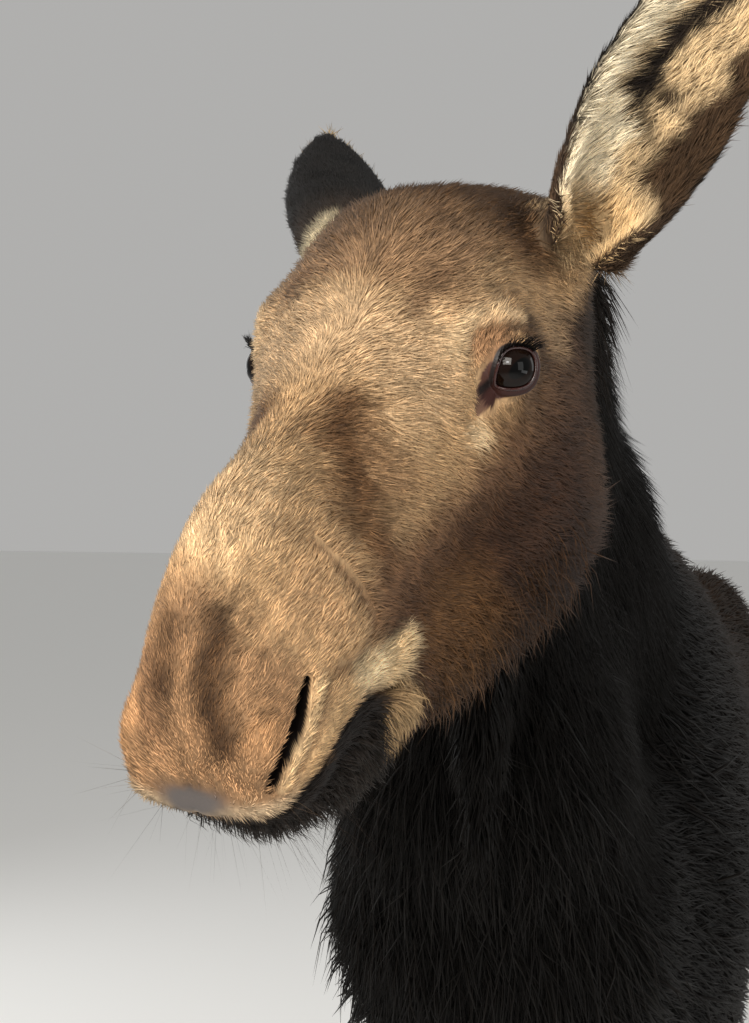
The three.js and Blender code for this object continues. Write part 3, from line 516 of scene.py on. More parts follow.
def face_colours(h):
    """The coat of the head. h are places in its frame, m the same on its left side, w the same
    with a soft wander that frays every border, and drop is how far below the middle line."""
    m = mirrored(h)
    wander = [8 * ripple(h, 45, 60 + k) + 4 * ripple(h, 14, 70 + k) for k in range(3)]
    w = m + np.column_stack(wander)
    y, z = w[:, 1:].T
    drop = np.interp(y, BROW_Y, BROW_Z) - z
    near_streak = h + 0.35 * (w - m)
    cheek = ease(68, 112, drop) * ease(-215, -165, y)
    mouth_z = np.interp(m[:, 1], MOUTH_Y, MOUTH_Z)
    chin = ease(2, -7, z - mouth_z) * ease(-176, -206, m[:, 1])
    marks = [
        # forehead: paler middle, browner above, dark poll, two darker waves
        ("#c3a580", hump(y, -55, 50) * ease(75, 30, drop)),
        ("#8d7053", ease(-28, 5, y) * ease(60, 20, drop)),
        ("#ad8f6b", around_place(w, (74, 20, 46), (26, 44, 26))),
        ("#5f452d", ease(48, 85, y) * ease(75, 35, drop)),
        ("#6d523b", 0.7 * around_place(w, (42, -10, 62), (20, 30, 22))),
        ("#5a422d", 0.6 * around_place(w, (24, 45, 82), (22, 34, 22))),
        # bridge: a cross band, painted shade down its sides, a pale top, and the cushions of the muzzle
        ("#8d6c4d", 0.7 * hump(y, -118, 28) * ease(8, 25, drop) * ease(85, 55, drop)),
        ("#5f4026", 0.9 * fold(w, BRIDGE_PAINTED_SHADE, 30)),
        ("#cbac84", around_place(w, (4, -212, 42), (42, 60, 40))),
        ("#bf9b72", around_place(w, (48, -225, -25), (30, 40, 44))),
        ("#8a694b", 0.85 * ease(-238, -286, y)),
        ("#694e37", 0.8 * around_place(h, (-18, -308, -24), (26, 34, 50))),
        ("#a37d58", around_place(w, (48, -306, -40), (22, 30, 34))),
        # dark streaks down the front of the muzzle
        ("#3a2615", 0.9 * fold(near_streak, MUZZLE_STREAK, 18)),
        ("#4a3320", 0.6 * fold(near_streak, MUZZLE_STREAK_RIGHT, 14)),
        # cheeks and jaw: darker downwards and back to the neck, partly their own dark coat and partly
        # painted shade low on the cheek and under the jaw
        ("#73543a", cheek),
        ("#432c1d", ease(110, 165, drop) * cheek),
        ("#2b1b12", ease(185, 235, drop) * cheek),
        ("#71502f", 0.7 * around_place(w, (56, -105, -135), (40, 66, 66))),
        ("#4f3a2b", 0.8 * ease(15, 75, y) * ease(70, 110, drop)),
        ("#33261c", ease(75, 125, y) * ease(60, 105, drop)),
        ("#2a1f18", ease(118, 150, y) * ease(40, 70, drop)),
        # round the eye: dark below and behind, a pale brow ridge that is partly painted highlight,
        # painted shade in the lid's groove, and a pale spot before its corner
        ("#604832", 0.8 * around_place(m, (92, 8, -26), (26, 34, 24))),
        ("#4a3829", 0.8 * around_place(m, (92, 38, -4), (26, 22, 34))),
        ("#a48867", 0.7 * around_place(w, (88, 76, -6), (30, 36, 36))),
        ("#8d6c4e", around_place(m, (86, -8, 26), (20, 40, 22))),
        # Partly pale hair and partly a painted highlight along the raised brow ridge.
        ("#d6ba92", 0.65 * fold(m, BROW_FOLD, 14)),
        ("#4a331f", 0.8 * around_place(m, (90, 34, 13), (10, 15, 11))),
        # Painted shade in the sunk groove of the upper lid.
        ("#684c34", 0.9 * fold(m, LID_FOLD, 6) * ease(-45, -20, m[:, 1])),
        ("#dcc199", around_place(m, (81, -53, -16), (13, 15, 13))),
        # painted shade in the pad's crease, then lips, chin, ear bases and the tufts behind the corners
        # of the mouth
        # Painted shade along the sunk crease round the pad of the muzzle.
        ("#77583e", 0.8 * fold(m, PAD_CREASE, 9)),
        ("#c9a77a", 0.9 * fold(m, UPPER_LIP, 10) * ease(-318, -290, y)),
        ("#f6dfb4", fold(m, UPPER_LIP, 17) * ease(-240, -215, y)),
        ("#d8c6a6", 0.6 * fold(m, UPPER_LIP, 8) * ease(-295, -318, y)),
        ("#d6b88c", fold(m, NOSTRIL_WING, 6)),
        ("#dfc194", around_place(m, (54, -172, -106), (22, 34, 20))),
        ("#211b17", chin),
        ("#c9ae86", 0.8 * around_place(w, (86, 138, 30), (34, 36, 36))),
    ]
    c = flat_colour("#b8976f", len(h))
    for code, amount in marks:
        c = paint(c, code, amount)
    mottle = 0.13 * ripple(h, 22, 96) + 0.11 * ripple(h, 9, 97)
    c = c * (1 + mottle * (1 + 1.1 * ease(-200, -250, y)))[:, None]
    return paint(c, "#a58c69", around_place(m, (52, -182, -140), (18, 26, 26)))


def bare_skin(h):
    """Where the head is bare, from 0 to 1, and the colour of its skin there, with painted shade
    deepening into the nostrils.
    """
    m = mirrored(h)
    away, edge, high = eye_opening(m)
    rim = 1.26 + 0.2 * ease(10, -20, high) - 0.16 * ease(2, 18, m[:, 1])
    lids = (away < 34) * ease(1, 0, (edge - rim) / 0.1 + 0.5)
    inward = np.full(len(m), np.inf)  # mm inside the nearest side of the bare corner
    for start, end in zip(DARK_CORNER, DARK_CORNER[1:] + DARK_CORNER[:1]):
        way = np.subtract(end, start) / math.dist(start, end)
        inward = np.minimum(inward, way[0] * (m[:, 2] - start[1]) - way[1] * (m[:, 1] - start[0]))
    duct = ease(-0.6, 0.8, inward) * (m[:, 0] > 60)
    nose = around_place(m, (0, -326, -83), (36, 26, 15))
    nostril_shade = ease(0.6, 2.4, nostril_depth)
    mouth = ease(3.2, 1.8, path_distance(m, MOUTH)[0])
    c = flat_colour("#2a1410", len(h))
    c = paint(c, "#140b09", ease(0, 20, high) * lids)
    c = paint(c, "#3d2620", duct * (1 - lids))
    c = paint(c, "#5a4234", duct * (1 - lids) * ease(-20, -44, m[:, 1]))
    c = paint(c, "#504b49", nose)
    # Painted shade that deepens into the nostrils, over their dark skin.
    c = paint(c, "#15100e", nostril_shade)
    c = paint(c, "#1d1613", mouth)
    return np.max([lids, duct, nose, nostril_shade, mouth], axis=0), c


# Each ear's root on the head, the way its tip points, the way its hollow faces, its side.
EAR_LENGTH = 265
HOLLOW_HEIGHTS = [0, 48, 119, 186, 240, 265]  # mm along an ear
HOLLOW_MIDDLE = [32, 42, 55, 56, 50, 46]  # how far out of its root line its hollow's middle is
EARS = {
    "ear_left": ((94, 156, 16), (0.56, 0.2, 0.8), (0.18, -0.97, 0.16), 1),
    "ear_right": ((-68, 148, 30), (-0.58, 0.81, -0.03), (-0.4, -0.25, -0.88), -1),
}


def ear_axes(node):
    """Rows: across the ear, out of its hollow, and along it, in the head's frame."""
    _, tip, hollow, _ = EARS[node]
    along = np.array(tip) / np.linalg.norm(tip)
    out = np.array(hollow) - along * (along @ hollow)
    out /= np.linalg.norm(out)
    return np.array([np.cross(out, along), out, along])


def ear_places(points, node):
    """Millimetres in an ear's own frame: across it, out of its hollow, along it."""
    place = (to_head(points) - np.array(EARS[node][0])) @ ear_axes(node).T
    place[:, 0] *= EARS[node][3]
    return place


def ear_inside(points, normals, node):
    """1 on the lining of an ear and 0 on its back."""
    place = ear_places(points, node)
    facing = normals @ head_axes @ ear_axes(node).T
    facing[:, 0] *= EARS[node][3]
    middle = np.interp(place[:, 2], HOLLOW_HEIGHTS, HOLLOW_MIDDLE)
    to_middle = np.column_stack([-place[:, 0], middle - place[:, 1]])
    return ease(-0.1, 0.25, (facing[:, :2] * to_middle).sum(1) / np.linalg.norm(to_middle, axis=1))


EAR_HEIGHTS = [45, 76, 100, 130, 160, 185, 210]  # mm along an ear
EAR_VALLEY = [-4, 0, 20, 20, 12, -8, -26]  # how far across it the dark hollow lies there
EAR_FRONT = [6, 10, 33, 33, 26, 12, 0]  # where its cream front band begins
EAR_BROWN = [-6, -10, -16, -25, -29, -34, -42]  # and where its brown rear part begins


def ear_colours(points, normals, node):
    """Dark back, its brown made near black with painted shade, and a pale lining with a dark hollow,
    a cream front band and a brown rear.
    """
    across, _, along = ear_places(points, node).T
    across = across + 4 * ripple(points * 1000, 30, 91)
    inside = ear_inside(points, normals, node)
    # The back: brown hair made near black with painted shade, browner towards the base and the rims.
    c = flat_colour("#0d0906", len(points))
    c = paint(c, "#3a2c20", ease(110, 30, along))
    c = paint(c, "#5d4936", 0.8 * ease(0.02, 0.3, inside))
    lining = flat_colour("#b9a27e", len(points))
    rear = np.interp(along, EAR_HEIGHTS, EAR_BROWN)
    lining = paint(lining, "#3a2b1d", ease(4, -8, across - rear) * ease(36, 54, along))
    lining = paint(lining, "#7a6444", 0.7 * ease(0, -10, across - rear) * ease(165, 200, along))
    valley = hump(across, np.interp(along, EAR_HEIGHTS, EAR_VALLEY), 13) * hump(along, 138, 82)
    lining = paint(lining, "#1a130e", 1.5 * valley)
    lining = paint(lining, "#2e2318", 1.3 * hump(across, -2, 14) * hump(along, 106, 10))
    front = ease(-2, 5, across - np.interp(along, EAR_HEIGHTS, EAR_FRONT))
    lining = paint(lining, "#ddd0b4", front * ease(195, 165, along))
    lining = paint(lining, "#8a7458", front * ease(165, 200, along))
    c = c + (lining - c) * inside[:, None]
    c = paint(c, "#b99c72", 0.9 * ease(44, 14, along) * ease(0.0, 0.6, inside))
    c = paint(c, "#5f4a35", 0.9 * ease(12, -8, along))
    if node == "ear_right":
        c = paint(c, "#d9c9a6", hump(across, 36, 14) * hump(along, 34, 26))
    return c


def body_colours(points, part):
    """Neck, trunk, bell, tail and legs, by place in the row's frame. The neck's near black is partly
    its dark coat and partly painted shade.
    """
    x, y, z = points.T
    # Dark brown-black coat, darkened further with painted shade.
    c = flat_colour("#0a0705", len(points))
    trunk = ease(-0.3, 0.25, y)
    c = paint(c, "#291f17", trunk)
    c = paint(c, "#3c2d20", trunk * ease(1.25, 1.6, z) * ease(0.28, 0.05, np.abs(x)))
    c = paint(c, "#3f362c", trunk * ease(0.95, 0.75, z))
    leg = by_part({"leg": 1, "": 0}, part)
    c = paint(c, "#4b4036", leg * ease(1.0, 0.8, z))
    c = paint(c, "#8b7f6e", leg * ease(0.82, 0.55, z))
    c = paint(c, "#6b5f50", leg * ease(0.16, 0.1, z))
    return c


def soft_share(node):
    """How much each point of the skin belongs to a solid, with a soft border."""
    return spread((skin_part == FLESH.index(node)).astype(float), edges, 10)


places = vertex_array(skin.data)
corners = corner_array(skin.data)
edges = edge_array(skin.data)
skin_part = part_of(places)
normals = vertex_normals(places, corners)
smooth_normals = spread(normals, edges, 6)
smooth_normals /= np.linalg.norm(smooth_normals, axis=1, keepdims=True)
in_head = to_head(places)
share = {node: soft_share(node) for node in FLESH}
markings_and_shade = body_colours(places, skin_part)
face = face_colours(in_head)
markings_and_shade += (face - markings_and_shade) * share["head"][:, None]
for node in EARS:
    lined = ear_colours(places, smooth_normals, node)
    markings_and_shade += (lined - markings_and_shade) * share[node][:, None]
bareness, bare_colour = bare_skin(in_head)
bareness *= share["head"] > 0.5
markings_and_shade += (bare_colour - markings_and_shade) * bareness[:, None]


def add_attribute(mesh, name, values):
    """A colour or a number for each point of a mesh."""
    kind, field = "FLOAT", "value"
    if values.ndim == 2:
        kind, field = "FLOAT_COLOR", "color"
        values = np.column_stack([values, np.ones(len(values))])
    layer = mesh.attributes.new(name, kind, "POINT")
    layer.data.foreach_set(field, values.astype(np.float32).ravel())


add_attribute(skin.data, "coat", markings_and_shade)
add_attribute(skin.data, "bare", bareness)


def add_node(tree, kind, settings=None, links=None):
    """A shader node with its settings, and its inputs set to values or linked to other sockets."""
    node = tree.nodes.new("ShaderNode" + kind)
    for name, value in (settings or {}).items():
        setattr(node, name, value)
    for name, value in (links or {}).items():
        if isinstance(value, bpy.types.NodeSocket):
            tree.links.new(value, node.inputs[name])
        else:
            node.inputs[name].default_value = value
    return node


def new_material(name):
    """An empty material, its node tree and its output."""
    made = bpy.data.materials.new(name)
    made.use_nodes = True
    tree = made.node_tree
    tree.nodes.clear()
    return made, tree, tree.nodes.new("ShaderNodeOutputMaterial")


# Winter hide: living skin under dense underfur. It is the coat's colour in shade, with the fine
# grain of short hair that lies flat, and where it is bare it is dark, moist and finely pebbled.
HAIR_GRAIN = 1.4  # mm across a lock of flat hair, drawn a little coarse so that it shows
PEBBLE = 1.1  # mm across a pebble of the bare nose
hide, tree, output = new_material("winter_hide")
place = add_node(tree, "TexCoord").outputs["Object"]
long_way = add_node(tree, "Mapping", links={"Vector": place, "Scale": (1, 1, 0.22)}).outputs[0]
grain = add_node(
    tree,
    "TexNoise",
    links={"Vector": long_way, "Scale": 1000 / HAIR_GRAIN, "Detail": 3.0, "Roughness": 0.6},
).outputs["Fac"]
pebbles = add_node(
    tree, "TexVoronoi", {"feature": "SMOOTH_F1"}, {"Vector": place, "Scale": 1000 / PEBBLE}
).outputs["Distance"]
coat = add_node(tree, "Attribute", {"attribute_name": "coat"}).outputs["Color"]
bare = add_node(tree, "Attribute", {"attribute_name": "bare"}).outputs["Fac"]
furred = add_node(
    tree,
    "MapRange",
    links={"Value": grain, "From Min": 0.3, "From Max": 0.7, "To Min": 0.42, "To Max": 0.85},
).outputs[0]
shade = add_node(tree, "Mix", {"data_type": "FLOAT"}, {0: bare, 2: furred, 3: 0.95}).outputs[0]
colour = add_node(tree, "VectorMath", {"operation": "SCALE"}, {0: coat, "Scale": shade}).outputs[0]
height = add_node(tree, "Mix", {"data_type": "FLOAT"}, {0: bare, 2: grain, 3: pebbles}).outputs[0]
bump = add_node(
    tree, "Bump", links={"Height": height, "Strength": 0.25, "Distance": 0.0006}
).outputs[0]
gloss = add_node(tree, "MapRange", links={"Value": bare, "To Min": 0.8, "To Max": 0.45}).outputs[0]
surface = add_node(
    tree,
    "BsdfPrincipled",
    links={"Base Color": colour, "Roughness": gloss, "Normal": bump, "Specular IOR Level": 0.2},
)
tree.links.new(surface.outputs[0], output.inputs["Surface"])
skin.data.materials.clear()
skin.data.materials.append(hide)
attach(skin, "root")
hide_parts(*FLESH)


# ---- the eyes ----------------------------------------------------------------------------------
# Each eye is a moist ball with a clear bulging cornea over a dark brown iris and a level oval
# pupil. It sits in the skin's socket, and a dark wet margin runs round the lids that close on it.
IRIS, PUPIL_WIDE, PUPIL_TALL, CORNEA = 13.5, 8.5, 5.0, 1.6  # mm: half widths, and the bulge
BALL_IN = 0.3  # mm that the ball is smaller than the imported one
BALL_RINGS, BALL_SIDES = 40, 64
GAZE_MAP = 40  # mm of the eye's front across the whole of its UV map
HANDS = {1: "left", -1: "right"}


def new_mesh(name, points, faces, uv=None):
    """A mesh object from arrays: points, triangles, and a UV map's name with a pair per corner."""
    mesh = bpy.data.meshes.new(name)
    mesh.vertices.add(len(points))
    mesh.vertices.foreach_set("co", np.asarray(points, np.float32).ravel())
    mesh.loops.add(len(faces) * 3)
    mesh.loops.foreach_set("vertex_index", np.asarray(faces, np.int32).ravel())
    mesh.polygons.add(len(faces))
    mesh.polygons.foreach_set("loop_start", np.arange(0, len(faces) * 3, 3, dtype=np.int32))
    shade_smooth(mesh)
    if uv is not None:
        layer = mesh.uv_layers.new(name=uv[0])
        layer.data.foreach_set("uv", np.asarray(uv[1], np.float32).ravel())
    mesh.update(calc_edges=True)
    obj = bpy.data.objects.new(name, mesh)
    bpy.context.collection.objects.link(obj)
    return obj


def on_side(places, side):
    """Places about the left eye, brought to that side of the head: 1 is left and -1 right."""
    return places * [side, 1, 1] - [RIGHT_BROW_OUT * (side < 0), 0, 0]


def strip_faces(rings, sides):
    """Triangles of a tube of rings, numbered ring by ring, outside out."""
    r, k = np.meshgrid(np.arange(rings - 1), np.arange(sides), indexing="ij")
    a, b = (r * sides + k).ravel(), (r * sides + (k + 1) % sides).ravel()
    halves = [a, b, b + sides], [a, b + sides, a + sides]
    return np.concatenate([np.column_stack(half) for half in halves])


def eyeball(side):
    """The ball of one side, its poles closed, with a UV map that looks at it from the front."""
    polar = np.linspace(0, math.pi, BALL_RINGS + 1)[1:-1]
    turn = np.arange(BALL_SIDES) * 2 * math.pi / BALL_SIDES
    polar, turn = (g.ravel() for g in np.meshgrid(polar, turn, indexing="ij"))
    polar, turn = np.append(polar, [0, math.pi]), np.append(turn, [0, 0])
    bulge = CORNEA * np.clip(1 - (EYE_RADIUS * np.sin(polar) / (IRIS * 1.1)) ** 2, 0, 1) ** 1.5
    radius = EYE_RADIUS - BALL_IN + bulge * (polar < 1.5)
    wide, high = np.sin(polar) * np.cos(turn), np.sin(polar) * np.sin(turn)
    out = np.outer(np.cos(polar), face_axis) + np.outer(wide, rearward) + np.outer(high, upward)
    places = on_side(EYE_PLACE + radius[:, None] * out, side)
    faces = strip_faces(BALL_RINGS - 1, BALL_SIDES)
    k = np.arange(BALL_SIDES)
    last = (BALL_RINGS - 2) * BALL_SIDES
    north, south = len(polar) - 2, len(polar) - 1
    caps = [(k + 1) % BALL_SIDES, k, np.full(BALL_SIDES, north)]
    ends = [last + k, last + (k + 1) % BALL_SIDES, np.full(BALL_SIDES, south)]
    faces = np.concatenate([faces, np.column_stack(caps), np.column_stack(ends)])
    if side > 0:
        faces = faces[:, ::-1]
    flat = np.column_stack([wide, high]) * EYE_RADIUS / GAZE_MAP + 0.5
    flat[polar > math.pi / 2] *= 0.02  # the back of the ball lies small in the map's corner
    return new_mesh("eyeball_" + HANDS[side], from_head(places), faces, ("gaze", flat[faces.ravel()]))


# Eye: a moist clear cornea over pigment. It is almost black, mirrors the lights sharply, and shows
# the brown fibres of the iris only where light falls straight in. A cornea's IOR is 1.38: it is
# lower here, so that the even light of the studio does not veil the dark ball.
moist_eye, tree, output = new_material("moist_eye")
across = add_node(tree, "UVMap", {"uv_map": "gaze"}).outputs[0]
centred = add_node(
    tree,
    "VectorMath",
    {"operation": "MULTIPLY_ADD"},
    {0: across, 1: (GAZE_MAP, GAZE_MAP, 0), 2: (-GAZE_MAP / 2, -GAZE_MAP / 2, 0)},
).outputs[0]
from_middle = add_node(tree, "VectorMath", {"operation": "LENGTH"}, {0: centred}).outputs["Value"]
squeezed = add_node(
    tree,
    "VectorMath",
    {"operation": "MULTIPLY"},
    {0: centred, 1: (1 / PUPIL_WIDE, 1 / PUPIL_TALL, 0)},
).outputs[0]
pupil = add_node(tree, "VectorMath", {"operation": "LENGTH"}, {0: squeezed}).outputs["Value"]
outward = add_node(tree, "VectorMath", {"operation": "NORMALIZE"}, {0: centred}).outputs[0]
fibres = add_node(tree, "TexNoise", links={"Vector": outward, "Scale": 22.0, "Detail": 4.0}).outputs["Fac"]
iris = add_node(
    tree, "Mix", {"data_type": "RGBA"}, {0: fibres, 6: linear("#060302"), 7: linear("#140a06")}
).outputs[2]
limbus = add_node(
    tree,
    "MapRange",
    links={"Value": from_middle, "From Min": IRIS - 1.5, "From Max": IRIS + 0.8},
).outputs[0]
colour = add_node(
    tree, "Mix", {"data_type": "RGBA"}, {0: limbus, 6: iris, 7: linear("#090403")}
).outputs[2]
past_pupil = add_node(
    tree, "MapRange", links={"Value": pupil, "From Min": 0.92, "From Max": 1.08}
).outputs[0]
colour = add_node(
    tree, "Mix", {"data_type": "RGBA"}, {0: past_pupil, 6: linear("#020202"), 7: colour}
).outputs[2]
surface = add_node(
    tree, "BsdfPrincipled", links={"Base Color": colour, "Roughness": 0.03, "IOR": 1.24}
)
tree.links.new(surface.outputs[0], output.inputs["Surface"])

# Lid margin: bare wet skin where lid meets ball, dark, glistening and finely mottled.
lid_skin, tree, output = new_material("wet_lid_margin")
place = add_node(tree, "TexCoord").outputs["Object"]
mottle = add_node(tree, "TexNoise", links={"Vector": place, "Scale": 420.0, "Detail": 3.0}).outputs["Fac"]
colour = add_node(
    tree, "Mix", {"data_type": "RGBA"}, {0: mottle, 6: linear("#120807"), 7: linear("#341814")}
).outputs[2]
bump = add_node(tree, "Bump", links={"Height": mottle, "Strength": 0.3, "Distance": 0.0004}).outputs[0]
surface = add_node(
    tree, "BsdfPrincipled", links={"Base Color": colour, "Roughness": 0.24, "Normal": bump, "IOR": 1.4}
)
tree.links.new(surface.outputs[0], output.inputs["Surface"])

MARGIN_STEPS, MARGIN_SIDES, MARGIN_RADIUS, MARGIN_FLAT = 96, 10, 1.0, 1.3  # mm, and times as wide


def on_lid(turn, edge=1.0, radius=EYE_RADIUS + 0.5):
    """A place on the lids at an angle round the opening, from its front over the top."""
    wide, high = -np.cos(turn), np.sin(turn)
    span = np.full_like(turn, 40.0)  # degrees: a first guess, corrected until it is on that edge
    for _ in range(30):
        span *= (edge / lid_edge(wide * span, high * span)) ** 0.7
    tan_wide, tan_high = np.tan(np.radians(wide * span)), np.tan(np.radians(high * span))
    out = face_axis + tan_wide[:, None] * rearward + tan_high[:, None] * upward
    return EYE_PLACE + radius * out / np.linalg.norm(out, axis=1, keepdims=True)


def lid_margin(side):
    """A closed flattened ring along the edge of the lids."""
    turn = np.arange(MARGIN_STEPS) * 2 * math.pi / MARGIN_STEPS
    middle = on_lid(turn)
    along = np.roll(middle, -1, 0) - np.roll(middle, 1, 0)
    along /= np.linalg.norm(along, axis=1, keepdims=True)
    out = (middle - EYE_PLACE) / np.linalg.norm(middle - EYE_PLACE, axis=1, keepdims=True)
    across = np.cross(along, out)
    round_it = np.arange(MARGIN_SIDES) * 2 * math.pi / MARGIN_SIDES
    cosine, sine = (f(round_it)[None, :, None] for f in (np.cos, np.sin))
    ring = cosine * across[:, None] * MARGIN_FLAT + sine * out[:, None]
    places = on_side((middle[:, None] + ring * MARGIN_RADIUS).reshape(-1, 3), side)
    faces = strip_faces(MARGIN_STEPS + 1, MARGIN_SIDES) % len(places)
    if side > 0:
        faces = faces[:, ::-1]
    return new_mesh("lid_margin_" + HANDS[side], from_head(places), faces)


for side, hand in HANDS.items():
    ball = eyeball(side)
    ball.data.materials.append(moist_eye)
    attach(ball, "root")
    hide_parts("eye_" + hand)
    margin = lid_margin(side)
    margin.data.materials.append(lid_skin)
    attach(margin, "root")


# ---- the coat ----------------------------------------------------------------------------------
# Guard hair in thin pointed tufts, each a closed solid rooted in the skin, lying back over the
# next. The lie is set for every point of the skin, and so are length, width and lift.


def unit(vectors):
    return vectors / np.maximum(np.linalg.norm(vectors, axis=1, keepdims=True), 1e-9)


def mix(a, b, amount):
    """Vectors a moved towards b, or towards the one vector b, by an amount for each point."""
    return a + (b - a) * amount[:, None]


LIE_Y = [-320, -200, -100, -50, -10, 20, 50, 120]  # mm: from the nose to the poll
LIE_BACK = [0.9, 0.9, 0.6, 0.4, 0.3, 0.4, 0.9, 1]  # how much the hair of the top lies backward
LIE_OUT_Y = [-320, -200, -100, -50, -10, 20, 120]
LIE_OUT = [0.15, 0.4, 0.8, 0.9, 0.7, 0.5, 0.4]  # and how much outward


def head_lie(h, n):
    """Which way the hair of the head lies: up the nose, back and out across the forehead, away
    from the eyes, and back and down over cheeks and jaw."""
    bent = h + np.column_stack([12 * ripple(h, 50, 80 + k) for k in range(3)])
    y, z = bent[:, 1], h[:, 2]
    zero = 0 * y
    hand = np.clip(bent[:, 0] / 22, -1, 1)
    back, out = np.interp(y, LIE_Y, LIE_BACK), np.interp(y, LIE_OUT_Y, LIE_OUT)
    rise = np.interp(y, [-320, -270, -230], [1, 0.5, 0])
    top = np.column_stack([out * hand, back, rise])
    nose_side = np.column_stack([0.3 * hand, zero + 0.8, zero + 0.35])
    side = mix(nose_side, np.array([0, 0.6, -0.75]), ease(-205, -160, y))
    lie = mix(top, side, ease(0.45, 0.85, np.abs(n[:, 0])) * ease(75, 30, z))
    m = mirrored(h)
    lip, chin, jaw = np.array([0, 0.9, -0.25]), np.array([0, 0.45, -0.9]), np.array([0, 0.9, -0.5])
    lie = mix(lie, lip, fold(m, UPPER_LIP, 18))
    lie = mix(lie, chin, ease(-92, -125, z) * ease(-150, -200, y))
    lie = mix(lie, jaw, ease(-150, -190, z) * ease(-200, -150, y))
    from_eye = unit(m - EYE_PLACE - 12 * face_axis) * np.column_stack([hand, zero + 1, zero + 1])
    near_eye = 1 - ease(22, 62, np.linalg.norm(m - EYE_PLACE, axis=1))
    return mix(lie, from_eye + [0, 0.6, -0.1], near_eye)


def ear_lie(points, normals, node):
    """Along the back of an ear to its tip, and over the lining from the rims in and up."""
    place = ear_places(points, node)
    inside = ear_inside(points, normals, node)
    side = EARS[node][3]
    zero = 0 * place[:, 0]
    back = np.column_stack([zero, zero, zero + 1])
    front = ease(8, 24, place[:, 0]) * ease(230, 170, place[:, 2])
    middle = np.column_stack([zero - 0.3 * side, zero + 0.2, zero + 1])
    lining = mix(middle, np.array([-0.75 * side, 0.25, 0.55]), front)
    return mix(back, lining, inside) @ ear_axes(node)


head_normals = smooth_normals @ head_axes
lie = np.tile([0.0, 0.92, -0.4], (len(places), 1))
lie = mix(lie, np.array([0.0, 0.45, -0.9]), share["neck"])
for node in LEGS + ["tail", "bell"]:
    lie = mix(lie, np.array([0.0, 0.12, -1.0]), share[node])
lie = mix(lie, head_lie(in_head, head_normals) @ head_axes.T, share["head"])
for node in EARS:
    lie = mix(lie, ear_lie(places, smooth_normals, node) @ head_axes.T, share[node])
lie -= smooth_normals * (lie * smooth_normals).sum(1)[:, None]
lie = spread(unit(lie), edges, 3)

# Hair length, width at the root and lift off the skin, by solid: millimetres and degrees.
HAIR = {
    "head": (11, 1.4, 14),
    "neck": (50, 1.9, 12),
    "trunk": (46, 3.4, 11),
    "ear": (12, 1.2, 8),
    "bell": (45, 3.0, 12),
    "tail": (45, 4.0, 14),
    "leg": (20, 3.6, 11),
}
length, width, lift = (
    spread(by_part({k: v[n] for k, v in HAIR.items()}, skin_part), edges, 8) for n in range(3)
)
m = mirrored(in_head)
on_head = share["head"]
jaw = ease(-125, -185, m[:, 2]) * ease(-190, -120, m[:, 1])
length += on_head * (7 * ease(-20, 60, m[:, 1]) * ease(0, 60, m[:, 2]) + 22 * jaw)
length += on_head * (8 * ease(-60, 60, m[:, 1]) * ease(20, -60, m[:, 2]))
length -= on_head * 4.5 * ease(-190, -270, m[:, 1]) * ease(-110, -90, m[:, 2])
by_eye = on_head * around_place(m, (86, -10, 0), (50, 50, 44))
length -= on_head * 5 * around_place(m, (86, -6, 8), (66, 66, 60))
width += on_head * (0.5 * jaw - 0.4 * around_place(m, (86, -10, 0), (60, 60, 50)))
width -= on_head * 0.3 * ease(-220, -260, m[:, 1])
lift += 4 * by_eye + on_head * (5 * jaw - 3 * ease(-20, 60, m[:, 1]) * ease(0, 60, m[:, 2]))
length = np.maximum(length, 3.5)

SINK = 0.0012  # how deep a tuft's root sits in the skin
RIDGE = 0.42  # a tuft's third edge stands this much of its width above the other two
BEND_AT, BEND_WIDTH, BEND_DOWN = 0.5, 0.72, 0.35  # its bend: shares of length, width and lift
PATCH = 0.0015  # half of a tuft's patch on its OFBake map
first, second, third = (places[corners[:, k]] for k in range(3))
face_area = np.linalg.norm(np.cross(second - first, third - first), axis=1) / 2
owner = np.array([share[node] for node in FLESH]).argmax(0)[corners[:, 0]]


def roots(wanted, density, rng):
    """Root places over the skin, as many as wanted: faces and the weights of their corners."""
    weight = face_area * density
    total = weight.cumsum()
    at = (np.arange(wanted) + rng.uniform(0, 1, wanted)) * total[-1] / wanted
    face = np.searchsorted(total, at).clip(0, len(weight) - 1)
    u, v = rng.uniform(0, 1, (2, wanted))
    over = u + v > 1
    u[over], v[over] = 1 - u[over], 1 - v[over]
    return face, np.column_stack([1 - u - v, u, v])


def at_roots(values, face, weights):
    """The skin's values at the root places."""
    found = values[corners[face]]
    if values.ndim == 1:
        return (found * weights).sum(1)
    return (found * weights[:, :, None]).sum(1)


